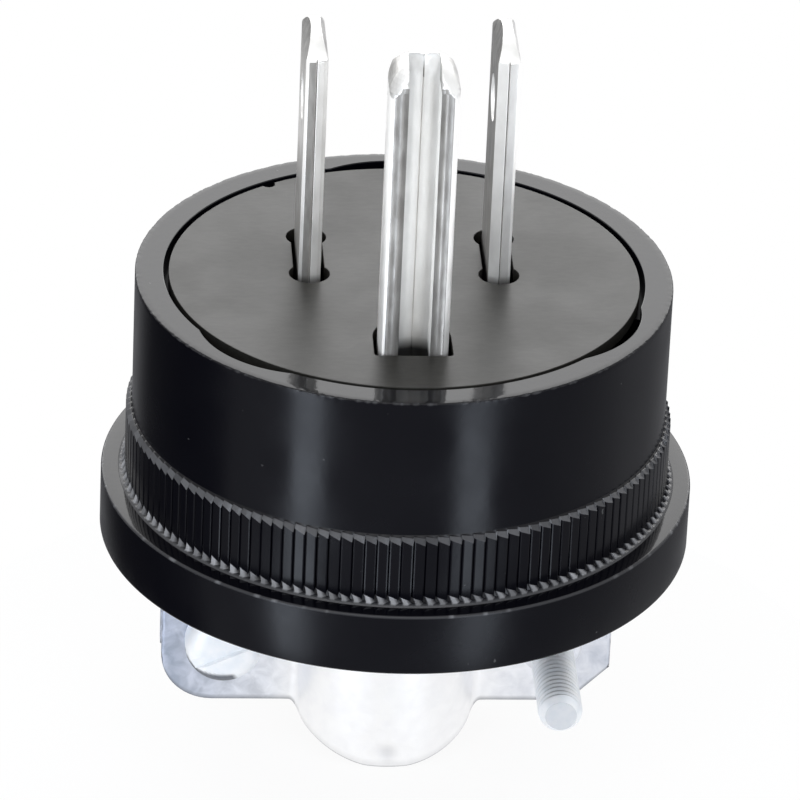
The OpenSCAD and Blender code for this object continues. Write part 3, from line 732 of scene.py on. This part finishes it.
# %% Body mesh
POST_LOW, POST_HIGH, POST_REACH = FLOOR_Z - 0.1, 23.0, 15.3
BLADE_POST_IN, BLADE_POST = 7.9, (-20, 28)
PIN_POST_IN, PIN_POST_OUTSIDE, PIN_POST_INSIDE = 8.95, (-125, -64), (-56, -132)
points = [p for one in rings for p in one]
on_rings = len(points)
faces = join_loops(0, len(rings), AROUND, closed=True)
for side in (-1, 1):
    wall = [(side * x, y) for x, y in on_circle(POST_REACH, *BLADE_POST)]
    outline = [(side * BLADE_POST_IN, wall[0][1]), *wall, (side * BLADE_POST_IN, wall[-1][1])]
    add_prism(points, faces, *upright(outline, POST_LOW, POST_HIGH))
outline = on_circle(POST_REACH, *PIN_POST_OUTSIDE) + on_circle(PIN_POST_IN, *PIN_POST_INSIDE)
add_prism(points, faces, *upright(outline, POST_LOW, POST_HIGH))
mesh = mesh_from(points, faces)
heights = np.array([p[2] for p in points])
flat_tops = np.isclose(heights, KNURL_Z) | np.isclose(heights, FACE_Z)
carry(mesh, "worn_and_highlit", np.concatenate([*wear_and_highlight_rings, np.zeros(len(points) - on_rings)]))
carry(mesh, "sheltered", (np.arange(len(points)) >= sheltered_from * AROUND).astype(float))
carry(mesh, "polished", flat_tops.astype(float))
make_piece("moulded_body", mesh, "body", phenolic, corner=12.0)

# %% [markdown]
# ## The fibre disc
# A punched disc is an outline with holes, and Blender's flat curves are made for that: a filled
# curve with several loops becomes a plate with holes, and its bevel rounds every punched edge at
# once. The curve is then turned into a mesh like the other pieces.

# %% Fibre disc
DISC_R, DISC_LOW, DISC_HIGH = 15.75, 33.45, 34.35
DISC_EDGE = 0.05
BLADE_X, BLADE_Y = 6.35, 3.15
SLOT_HALF, SLOT_END_R, SLOT_FRONT, SLOT_BACK = 1.03, 1.35, 3.025, 2.3
PIN_HOLE, PIN_HOLE_CORNER, PIN_Y = 5.16, 0.25, -8.75
NICK_PLACE, NICK_R = 123.0, 0.45


def moved(outline, x, y):
    """An outline at another place."""
    return [(x + px, y + py) for px, py in outline]


def disc_edge():
    """The round outline with the small locating nick."""
    half = math.degrees(NICK_R / DISC_R)
    start = math.radians(NICK_PLACE)
    rim = on_circle(DISC_R, NICK_PLACE + half, NICK_PLACE + 360 - half, 240)
    nick = on_circle(NICK_R, NICK_PLACE - 100, NICK_PLACE - 260, 9)
    return rim + moved(nick, DISC_R * math.cos(start), DISC_R * math.sin(start))


def bone(x, y):
    """A slot for a blade: straight sides and a round hole at each end."""
    inset = math.degrees(math.asin(SLOT_HALF / SLOT_END_R))
    back_end = on_circle(SLOT_END_R, -90 + inset, 270 - inset, 28)
    front_end = on_circle(SLOT_END_R, 90 + inset, 450 - inset, 28)
    return moved(back_end, x, y + SLOT_BACK) + moved(front_end, x, y - SLOT_FRONT)


def pin_hole(x, y):
    """The hole for the pin: half-round at the back, flat with small round corners at the front."""
    inner = PIN_HOLE / 2 - PIN_HOLE_CORNER
    loop = moved(on_circle(PIN_HOLE / 2, 0, 180, 32), x, y)
    for cx, start in ((-inner, 180), (inner, 270)):
        loop += moved(on_circle(PIN_HOLE_CORNER, start, start + 90, 5), x + cx, y - inner)
    return loop


def plate_mesh(loops, low, high, edge_size):
    """A plate between two heights from closed loops, with all its edges rounded."""
    curve = bpy.data.curves.new("punched", "CURVE")
    curve.dimensions, curve.fill_mode = "2D", "BOTH"
    curve.extrude = (high - low) / 2 * MM - edge_size * MM
    curve.bevel_depth, curve.bevel_resolution = edge_size * MM, 2
    curve.offset = -edge_size * MM
    for loop in loops:
        spline = curve.splines.new("POLY")
        spline.points.add(len(loop) - 1)
        spline.use_cyclic_u = True
        for point, (x, y) in zip(spline.points, loop):
            point.co = (x * MM, y * MM, 0, 1)
    holder = bpy.data.objects.new("punched", curve)
    scene.collection.objects.link(holder)
    mesh = bpy.data.meshes.new_from_object(holder.evaluated_get(bpy.context.evaluated_depsgraph_get()))
    bpy.data.objects.remove(holder)
    mesh.transform(Matrix.Translation((0, 0, (low + high) / 2 * MM)))
    return mesh


loops = [disc_edge(), bone(-BLADE_X, BLADE_Y), bone(BLADE_X, BLADE_Y), pin_hole(0, PIN_Y)]
make_piece("punched_disc", plate_mesh(loops, DISC_LOW, DISC_HIGH, DISC_EDGE),
           "fibre_disc", fibre, corner=12.0)

# %% [markdown]
# ## Softened sheet metal
# The prongs already have their true form in the CAD model, down to the folds and seams. What a
# CAD model lacks is the soft edge of stamped and tumbled metal, which is where the light catches.
# The helper copies the CAD mesh, joins its faces along their borders, merges flat triangles and
# then bevels each outer edge by a few hundredths of a millimetre. Before that a press function
# may move points, and cuts across the prong give it points to move. A second function then tells
# how far each face is scuffed by many sockets and darkened with painted shade.

# %% Softened copies
JOIN, FLAT_WITHIN = 0.002, 0.5
SOFT_EDGE, SOFT_STEPS, SOFT_FROM = 0.06, 2, 28.0


def softened(node, press, scuff_and_shade, cuts=()):
    """A copy of a CAD node's mesh, cut across at some heights, pressed and with round edges."""
    copy = frame["nodes"][node].data.copy()
    work = bmesh.new()
    work.from_mesh(copy)
    bmesh.ops.remove_doubles(work, verts=work.verts, dist=JOIN * MM)
    bmesh.ops.dissolve_limit(work, angle_limit=math.radians(FLAT_WITHIN), verts=work.verts, edges=work.edges)
    for height in cuts:
        bmesh.ops.bisect_plane(work, geom=work.verts[:] + work.edges[:] + work.faces[:], dist=WELD * MM,
                               plane_co=(0, 0, height * MM), plane_no=(0, 0, 1))
    for point in work.verts:
        point.co.y += press(point.co / MM) * MM
    sharp = [e for e in work.edges if len(e.link_faces) == 2 and e.is_convex
             and e.calc_face_angle(0.0) > math.radians(SOFT_FROM)]
    bmesh.ops.bevel(work, geom=sharp, offset=SOFT_EDGE * MM, offset_type="OFFSET", segments=SOFT_STEPS,
                    profile=0.5, affect="EDGES", clamp_overlap=True)
    bmesh.ops.triangulate(work, faces=[f for f in work.faces if len(f.verts) > 4])
    work.to_mesh(copy)
    work.free()
    # Each face carries how much painted shade and scuffing it gets.
    rubbed = [scuff_and_shade(face.center / MM, face.normal) for face in copy.polygons]
    carry(copy, "rubbed", rubbed, "FACE")
    print(f"{node}: {len(sharp)} edges rounded, {np.count_nonzero(rubbed)} faces rubbed")
    return copy


print("soft edges:", SOFT_EDGE, "mm wide, on corners over", SOFT_FROM, "degrees")

# %% [markdown]
# The two leaves of a fold never lie quite level: a tenth of a millimetre turns one of them to the
# light and the other away from it. The floor of the pin's channel is a shallow valley along its
# seam, and at the tip it bends back under the dome.

# %% Prongs
BLADE_FRONT, LEAF_WIDE, LEVEL = -0.025, 0.5, 0.02
LEFT_DROPS, LEFT_LEAF_SCUFF_AND_SHADE = (0.0, 0.12), (0.9, 0.0)
RIGHT_DROPS, RIGHT_LEAF_SCUFF_AND_SHADE = (0.16, 0.04), (0.0, 0.5)
CHANNEL_Y, CHANNEL_HALF, CHANNEL_VALLEY, SEAM_DEEP = -8.8, 1.05, 0.29, 0.15
TIP_CUTS, TIP_TOP, TIP_BACK = (53.2, 53.8, 54.4), 55.0, 0.75
LEFT_SIDE_SHADE, LEFT_SHOULDER_SHADE, SHOULDER_Z = 1.0, 0.8, 52.4
TO_THE_LEFT, TO_THE_FRONT, SHOULDER_TURN = -0.8, -0.9, 0.4


def off_blade(x):
    """How far a place lies to the right of the middle of its blade."""
    return x - BLADE_X if x > 0 else x + BLADE_X


def leaves(left_drop, right_drop):
    """Presses a blade's front back towards its outer borders, so that its two leaves slope."""
    def press(point):
        off = off_blade(point.x)
        if abs(point.y - BLADE_FRONT) > LEVEL or abs(off) > 1:
            return 0.0
        return (left_drop if off < 0 else right_drop) * min(1.0, abs(off) / LEAF_WIDE)
    return press


def channel(point):
    """Presses the channel's floor, seam and all, into a valley that bends back at the tip."""
    on_floor = abs(point.y - CHANNEL_Y) < LEVEL
    in_seam = abs(point.x) < LEVEL and abs(point.y - CHANNEL_Y - SEAM_DEEP) < LEVEL
    if not on_floor and not in_seam or abs(point.x) > CHANNEL_HALF + LEVEL:
        return 0.0
    up_tip = max(0.0, (point.z - TIP_CUTS[0]) / (TIP_TOP - TIP_CUTS[0]))
    return CHANNEL_VALLEY * max(0.0, 1 - abs(point.x) / CHANNEL_HALF) + TIP_BACK * up_tip ** 2


def scuffed_and_shaded_leaves(left_scuff_and_shade, right_scuff_and_shade):
    """Painted shade and scuffs on the leaves at the front of a blade, and painted shade on its left side."""
    def scuff_and_shade(centre, normal):
        if normal.x < TO_THE_LEFT:
            return LEFT_SIDE_SHADE
        front_scuff_and_shade = left_scuff_and_shade if off_blade(centre.x) < 0 else right_scuff_and_shade
        return front_scuff_and_shade if normal.y < TO_THE_FRONT else 0.0
    return scuff_and_shade


def scuffed_and_shaded_legs(centre, normal):
    """Painted shade and scuffs on the narrow fronts of the pin's legs and painted shade on its left shoulder,
    none in the channel.
    """
    if centre.z > SHOULDER_Z and normal.x < -SHOULDER_TURN:
        return LEFT_SHOULDER_SHADE * min(1.0, (-SHOULDER_TURN - normal.x) / SHOULDER_TURN)
    return 1.0 if normal.y < TO_THE_FRONT and abs(centre.x) > CHANNEL_HALF else 0.0


for node in ("line_blade", "neutral_blade"):
    low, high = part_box(node)
    drops, leaf_scuff_and_shade = (LEFT_DROPS, LEFT_LEAF_SCUFF_AND_SHADE) if low.x < 0 else (RIGHT_DROPS, RIGHT_LEAF_SCUFF_AND_SHADE)
    mesh = softened(node, leaves(*drops), scuffed_and_shaded_leaves(*leaf_scuff_and_shade))
    make_piece("folded_" + node, mesh, node, plated)
mesh = softened("ground_pin", channel, scuffed_and_shaded_legs, TIP_CUTS)
make_piece("folded_ground_pin", mesh, "ground_pin", plated)

# %% [markdown]
# ## The clamp halves
# A clamp half is one strip of steel: a flat ear, a bend, a half-round sleeve for the cord, a bend
# and another ear. A Solidify modifier over a bent grid would do, but the edges have to be soft
# and each ear has its own corners. So the strip is swept: along its path, as seen from above,
# stand cross-sections with round edges, and each one knows how low and how high it reaches.

# %% Path of the strip
STEEL, GAP, SLEEVE_IN, BEND_R, INNER_BEND, INNER_TO = 1.2, 1.7, 4.95, 0.9, 0.5, 84
SLEEVE_OUT = SLEEVE_IN + STEEL
EAR_X, EAR_LOW, EAR_HIGH, SLEEVE_HIGH = 15.4, 2.4, 12.2, 16.6
EAR_ROUND, EAR_CUT = (3.5, 1.75), (2.7, 1.35)
STEP_FROM, STEP_LONG = 5.7, 0.9
SCREW_X, SCREW_Z = 11.2, 7.3
TONGUE_RISE, TONGUE_FLAT, CLAMP_LEFT = 1.65, 1.5, 0.25
TONGUE_MID = (SLEEVE_OUT**2 + TONGUE_RISE**2 - TONGUE_FLAT**2) / 2 / TONGUE_RISE
TONGUE_R = math.hypot(TONGUE_MID, TONGUE_FLAT)
SOFT = 0.16
bend_lift = GAP / 2 + STEEL + BEND_R
bend_x = math.sqrt((SLEEVE_OUT + BEND_R) ** 2 - (STEEL + BEND_R) ** 2)
bend_from = math.degrees(math.atan2(bend_x, STEEL + BEND_R))


def half_path():
    """Front and back points of the strip from the middle of the sleeve to the end of an ear."""
    path = []
    for share in np.linspace(0, 1, 30):
        a, b = math.radians(share * bend_from), math.radians(share * INNER_TO)
        path.append(((SLEEVE_OUT * math.sin(a), -GAP / 2 - SLEEVE_OUT * math.cos(a)),
                     (SLEEVE_IN * math.sin(b), -GAP / 2 - SLEEVE_IN * math.cos(b))))
    for share in np.linspace(0.12, 1, 8):
        a, b = math.radians(180 + bend_from * (1 - share)), math.radians(share * 90)
        path.append(((bend_x + BEND_R * math.sin(a), -bend_lift - BEND_R * math.cos(a)),
                     (SLEEVE_IN + INNER_BEND - INNER_BEND * math.cos(b),
                      -GAP / 2 - INNER_BEND + INNER_BEND * math.sin(b))))
    round_from = EAR_X - EAR_ROUND[0]
    corner = EAR_X - EAR_ROUND[0] * (1 - np.sin(np.radians(np.arange(8, 88, 6))))
    flat = np.concatenate([np.linspace(bend_x + 0.4, round_from, 12), corner])
    path += [((x, -GAP / 2 - STEEL), (x, -GAP / 2)) for x in (*flat, EAR_X - SOFT, EAR_X)]
    return path


def corner_cut(reach, size, square):
    """How much an ear's edge is drawn in at this distance from its end: round, or cut straight."""
    past = max(0.0, size - reach)
    return past if square else size - math.sqrt(max(0.0, size**2 - past**2))


def edges_at(x):
    """Lowest and highest point of the strip at one place along it."""
    away = abs(x)
    tongue = max(0.0, TONGUE_MID - math.sqrt(TONGUE_R**2 - min(away, SLEEVE_OUT) ** 2))
    step = min(1.0, max(0.0, (away - STEP_FROM) / STEP_LONG))
    step = step * step * (3 - 2 * step)
    low = tongue * (1 - step) + EAR_LOW * step
    high = SLEEVE_HIGH * (1 - step) + EAR_HIGH * step
    reach = EAR_X - away
    sizes, square = (EAR_ROUND, False) if x < 0 else (EAR_CUT, True)
    return low + corner_cut(reach, sizes[0], square), high - corner_cut(reach, sizes[1], square)


right_half = half_path()
left_half = [((-f[0], f[1]), (-b[0], b[1])) for f, b in reversed(right_half[1:])]
strip = left_half + right_half
print("strip:", len(strip), "sections")

# %% [markdown]
# Each section is a tall narrow loop with four soft corners. Extra levels up the sleeve let a grip
# dimple be pressed in near the foot, on both faces of the steel, as a punch does it. The points
# of the lower edge and of the dimple are marked for painted shade.

# %% Sweep
LEVELS = (0.03, 0.05, 0.07, 0.09, 0.11, 0.13, 0.15, 0.18, 0.22, 0.4, 0.7)
CORNER, END_TUCK = 0.3, 0.6
DENT_Z, DENT_R, DENT_DEEP, DENT_FRONT, DENT_SHADE = 1.15, 1.0, 0.12, 3, 0.22
SLEEVE_EDGE_SHADE, EAR_EDGE_SHADE = (0.12, 0.7, 0.9, 0.9, 0.6, 0.0), (0.5, 0.8, 0.9, 0.9, 0.6, 0.0)
edge_shade_marks = []


def section(front, back, low, high, tuck=0.0):
    """One loop of the strip; tuck draws its corners in for the rounded end of an ear."""
    front, back = Vector(front), Vector(back)
    across = back - front
    inner, soft = tuck / across.length, (SOFT + tuck) / across.length
    slant, near = inner + CORNER * (soft - inner), CORNER * SOFT + tuck
    up = [low + SOFT + tuck + (high - low - 2 * (SOFT + tuck)) * v for v in LEVELS]
    loop = [(inner, low + SOFT + tuck), (slant, low + near), (soft, low + tuck),
            (1 - soft, low + tuck), (1 - slant, low + near), (1 - inner, low + SOFT + tuck)]
    loop += [(1 - inner, z) for z in up]
    loop += [(1 - inner, high - SOFT - tuck), (1 - slant, high - near), (1 - soft, high - tuck),
             (soft, high - tuck), (slant, high - near), (inner, high - SOFT - tuck)]
    loop += [(inner, z) for z in reversed(up)]
    # Painted shade along the lower edge and in the dimple: these points carry the edge number.
    marks = list(EAR_EDGE_SHADE if abs(front.x) > SLEEVE_OUT else SLEEVE_EDGE_SHADE)
    marks += [0.0] * (len(loop) - len(marks))
    points = []
    for i, (u, z) in enumerate(loop):
        p = front + across * u
        off = math.hypot(p.x, z - DENT_Z) / DENT_R
        if abs(p.x) < DENT_R and p.y < -GAP / 2 - DENT_FRONT and off < 1:
            p.y += DENT_DEEP * (1 - off**2) ** 2
            marks[i] = max(marks[i], DENT_SHADE * (1 - off**2) ** 2)
        points.append((p.x, p.y, z))
    edge_shade_marks.extend(marks)
    return points


def strip_mesh():
    """The points and faces of the whole strip, for the half on the front side."""
    loops = []
    for i, (front, back) in enumerate(strip):
        end = i in (0, len(strip) - 1)
        loops.append(section(front, back, *edges_at(front[0]), SOFT * END_TUCK if end else 0.0))
    n = len(loops[0])
    points = [p for loop in loops for p in loop]
    faces = [tuple(range(n)), tuple(range(len(points) - n, len(points)))]
    return points, faces + join_loops(0, len(loops), n)


points, faces = strip_mesh()
print("strip mesh:", len(points), "points,", len(faces), "faces,", np.count_nonzero(edge_shade_marks), "marked")

# %% [markdown]
# The lip that keeps a half from slipping out of the body and the collar round the tapped hole are
# small rings. The holes are then drilled with a Boolean, through ears and collar at once.

# %% Lip, collar and holes
LIP_IN, LIP_R, LIP_LOW, LIP_SOFT = 5.6, 7.55, 15.4, 0.15
COLLAR_IN, COLLAR_R, COLLAR_H, COLLAR_SUNK, COLLAR_SOFT = 1.3, 2.2, 1.0, 0.5, 0.2
CLEAR_HOLE_R, TAPPED_HOLE_R = 1.65, 1.55
RING_STEPS, DRILL_SIDES, DRILL_FROM, DRILL_TO = 40, 40, -6.0, 2.0


def add_rings(points, faces, profile, place, closed=True, first=0.0, last=360.0):
    """Adds a turned ring, or a part of one, to a list of points and faces."""
    base, n = len(points), len(profile)
    for a in np.radians(np.linspace(first, last, RING_STEPS, endpoint=not closed)):
        points.extend(place(r * math.cos(a), r * math.sin(a), z) for r, z in profile)
    faces += join_loops(base, RING_STEPS, n, closed)
    if not closed:
        faces += [tuple(range(base, base + n)), tuple(range(len(points) - n, len(points)))]


def marked_mesh(points, faces, marks):
    """A mesh whose points carry the painted shade called edge, 0 for all points past the list."""
    mesh = mesh_from(points, faces)
    carry(mesh, "edge", np.concatenate([marks, np.zeros(len(points) - len(marks))]))
    return mesh


def drilled(mesh, drill_mesh):
    """A mesh with a second one taken out of it."""
    parts = []
    for part in (mesh, drill_mesh):
        faces_out(part)
        parts.append(bpy.data.objects.new("part", part))
        scene.collection.objects.link(parts[-1])
    cut = parts[0].modifiers.new("cut", "BOOLEAN")
    cut.object, cut.operation, cut.solver = parts[1], "DIFFERENCE", "EXACT"
    cut.use_self = True
    bpy.context.view_layer.update()
    done = bpy.data.meshes.new_from_object(parts[0].evaluated_get(bpy.context.evaluated_depsgraph_get()))
    for part in parts:
        bpy.data.objects.remove(part)
    return done


lip = [(LIP_IN, LIP_LOW), (LIP_R - LIP_SOFT, LIP_LOW), (LIP_R, LIP_LOW + LIP_SOFT),
       (LIP_R, SLEEVE_HIGH - LIP_SOFT), (LIP_R - LIP_SOFT, SLEEVE_HIGH), (LIP_IN, SLEEVE_HIGH)]
add_rings(points, faces, lip, lambda x, y, z: (x, y - GAP / 2, z), False, -140, -40)
collar = [(COLLAR_IN, -COLLAR_SUNK), (COLLAR_R, -COLLAR_SUNK), (COLLAR_R, COLLAR_H - COLLAR_SOFT),
          (COLLAR_R - COLLAR_SOFT, COLLAR_H), (COLLAR_IN, COLLAR_H)]
add_rings(points, faces, collar, lambda x, y, z: (SCREW_X + x, -GAP / 2 - STEEL - z, SCREW_Z + y))

drill_points, drill_faces = [], []
for x, r in ((-SCREW_X, CLEAR_HOLE_R), (SCREW_X, TAPPED_HOLE_R)):
    outline = moved(full_circle(r, DRILL_SIDES), x, SCREW_Z)
    ends = [[(px, y, pz) for px, pz in outline] for y in (DRILL_FROM, DRILL_TO)]
    add_prism(drill_points, drill_faces, *ends)

for node, half_turn in (("clamp_front", 0), ("clamp_back", 180)):
    mesh = drilled(marked_mesh(points, faces, edge_shade_marks), mesh_from(drill_points, drill_faces))
    round_z = Matrix.Rotation(math.radians(half_turn), 4, "Z")
    mesh.transform(Matrix.Translation((-CLAMP_LEFT * MM, 0, 0)) @ round_z)
    make_piece("stamped_" + node, mesh, node, zinc)

# %% [markdown]
# ## The clamp screws
# Two long screws draw the clamp halves together. A turned head and a cut thread are both rings
# again; a thread is a ring whose radius rises and falls once per turn, a little further along on
# each ring. The slot is cut last, with a Boolean, because it runs straight across round rings.
# The lower edge of a head and the tip are marked for painted shade, like the edges of the clamp.

# %% Shape of a clamp screw
SCREW_R, SCREW_CORE, SCREW_L, SCREW_TIP_R, SCREW_TIP_L = 1.5, 1.4, 14.2, 1.05, 0.6
PITCH, PITCH_STEPS, CREST_STEEP, CREST_FROM = 0.5, 8, 1.7, 0.35
HEAD_R, HEAD_H, HEAD_DOME, HEAD_EDGE, DOME_FROM, DOME_STEPS = 2.65, 2.2, 1.32, 0.08, 84, 15
SCREW_AROUND = 40
SLOT_WIDE, SLOT_DEEP, SLOT_TURN = 0.8, 0.45, 25.0
UNDER_FROM, UNDER_SOFT, UNDER_HEAD_SHADE, SCREW_TIP_SHADE = 80.0, 10.0, 1.0, 0.4
UNDER_CURVE, UNDER_RIGHT = 0.78, 0.45


def screw_mesh():
    """A slotted screw that points down from z = 0, in mm."""
    angle, n = np.linspace(0, 2 * np.pi, SCREW_AROUND, endpoint=False), SCREW_AROUND
    # Painted shade: the lower left of the head's round edge and the tip carry the edge number.
    shade_below_slope = UNDER_FROM * np.maximum(0, -np.sin(angle)) ** UNDER_CURVE * (np.cos(angle) < UNDER_RIGHT)
    profile, marks = [], [0.0]
    for slope in np.linspace(DOME_FROM, 0, DOME_STEPS):
        a = np.radians(slope)
        profile.append((HEAD_R - HEAD_DOME + HEAD_DOME * np.cos(a),
                        HEAD_H - HEAD_DOME + HEAD_DOME * np.sin(a)))
        marks.extend(UNDER_HEAD_SHADE * np.clip((shade_below_slope - slope) / UNDER_SOFT, 0, 1))
    profile += [(HEAD_R, HEAD_EDGE), (HEAD_R - HEAD_EDGE, 0.0), (SCREW_R, 0.0)]
    turned = [(r + 0 * angle, z) for r, z in profile]
    for z in np.arange(0.1, SCREW_L - 0.01, PITCH / PITCH_STEPS):
        climb = (z / PITCH - angle / (2 * np.pi)) % 1
        crest = np.clip(CREST_STEEP * (1 - np.abs(2 * climb - 1)) - CREST_FROM, 0, 1)
        point_r = SCREW_TIP_R + (SCREW_R - SCREW_TIP_R) * np.clip((SCREW_L - z) / SCREW_TIP_L, 0, 1)
        turned.append((np.minimum(SCREW_CORE + (SCREW_R - SCREW_CORE) * crest, point_r), -z))
    turned.append((SCREW_TIP_R + 0 * angle, -SCREW_L))
    points = [(0, 0, HEAD_H)]
    for radius, z in turned:
        points += list(zip(radius * np.cos(angle), radius * np.sin(angle), z + 0 * angle))
    last, last_ring = len(points), len(points) - n
    points.append((0, 0, -SCREW_L))
    faces = [(0, 1 + j, 1 + (j + 1) % n) for j in range(n)]
    faces += join_loops(1, len(turned), n)
    faces += [(last_ring + j, last_ring + (j + 1) % n, last) for j in range(n)]
    marks = np.concatenate([marks, np.zeros(last_ring - len(marks)), np.full(n + 1, SCREW_TIP_SHADE)])
    return marked_mesh(points, faces, marks)


def slot_saw():
    """The bar that cuts the slot across a head."""
    x, y = HEAD_R + 1, SLOT_WIDE / 2
    points, faces = [], []
    outline = [(-x, -y), (x, -y), (x, y), (-x, y)]
    add_prism(points, faces, *upright(outline, HEAD_H - SLOT_DEEP, HEAD_H + 1))
    saw = mesh_from(points, faces)
    saw.transform(Matrix.Rotation(math.radians(SLOT_TURN), 4, "Z"))
    return saw


print("clamp screw:", SCREW_L, "mm long, with", round(SCREW_L / PITCH), "turns of thread")

# %% Clamp screws
screw_finish, bright = new_finish("zinc_screw", (0.82, 0.84, 0.87), 0.3, 0.5)
handled = grain(screw_finish, 0.8, detail=4.0)
clean_zinc = stain(screw_finish, handled, (0.90, 0.92, 0.94), (0.98, 0.98, 0.98))
# Painted shade where the screw is marked as an edge.
feed(screw_finish, shade_painted_edges(screw_finish, clean_zinc), bright, "Base Color")
feed(screw_finish, between(screw_finish, grain(screw_finish, 0.3), 0.45, 0.6), bright, "Roughness")
relief(screw_finish, bright, handled, 0.004)

for node, flip, side in (("clamp_screw_left", 0, -1), ("clamp_screw_right", 180, 1)):
    low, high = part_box(node)
    middle = (low + high) / 2
    mesh = drilled(screw_mesh(), slot_saw())
    place = Matrix.Translation((middle.x, side * (GAP / 2 + STEEL) * MM, middle.z))
    stand = Matrix.Rotation(math.radians(flip), 4, "Z") @ Matrix.Rotation(math.radians(90), 4, "X")
    mesh.transform(place @ stand)
    make_piece("turned_" + node, mesh, node, screw_finish)

# %% [markdown]
# ## The screws under the disc
# Six small screws hold the wires and the feet of the prongs. The disc hides them, so the CAD
# shapes stay as they are and only get their finishes: brass for the live side, nickel for the
# neutral side, green for the ground, zinc for the rest.

# %% Inner screws
WORN_SHADE = 0.75


def screw_colour(name, colour, metallic, roughness):
    """A plated or lacquered screw finish with a little wear."""
    finish, surface = new_finish(name, colour, metallic, roughness)
    wear = grain(finish, 0.6, detail=4.0)
    darker = tuple(WORN_SHADE * c for c in colour)
    feed(finish, stain(finish, wear, darker, colour), surface, "Base Color")
    feed(finish, between(finish, wear, roughness - 0.06, roughness + 0.1), surface, "Roughness")
    relief(finish, surface, grain(finish, 0.2), 0.003)
    return finish


inner = {
    "line_terminal_screw": screw_colour("bare_brass", (0.80, 0.60, 0.28), 1.0, 0.28),
    "neutral_terminal_screw": screw_colour("nickel_screw", (0.76, 0.75, 0.72), 1.0, 0.25),
    "ground_terminal_screw": screw_colour("green_screw", (0.03, 0.22, 0.08), 0.4, 0.35),
}
for node in ("line_foot_screw", "neutral_foot_screw", "ground_foot_screw"):
    inner[node] = screw_finish
for node, finish in inner.items():
    data = frame["nodes"][node].data
    data.materials.clear()
    data.materials.append(finish)
print("inner screws finished:", len(inner))
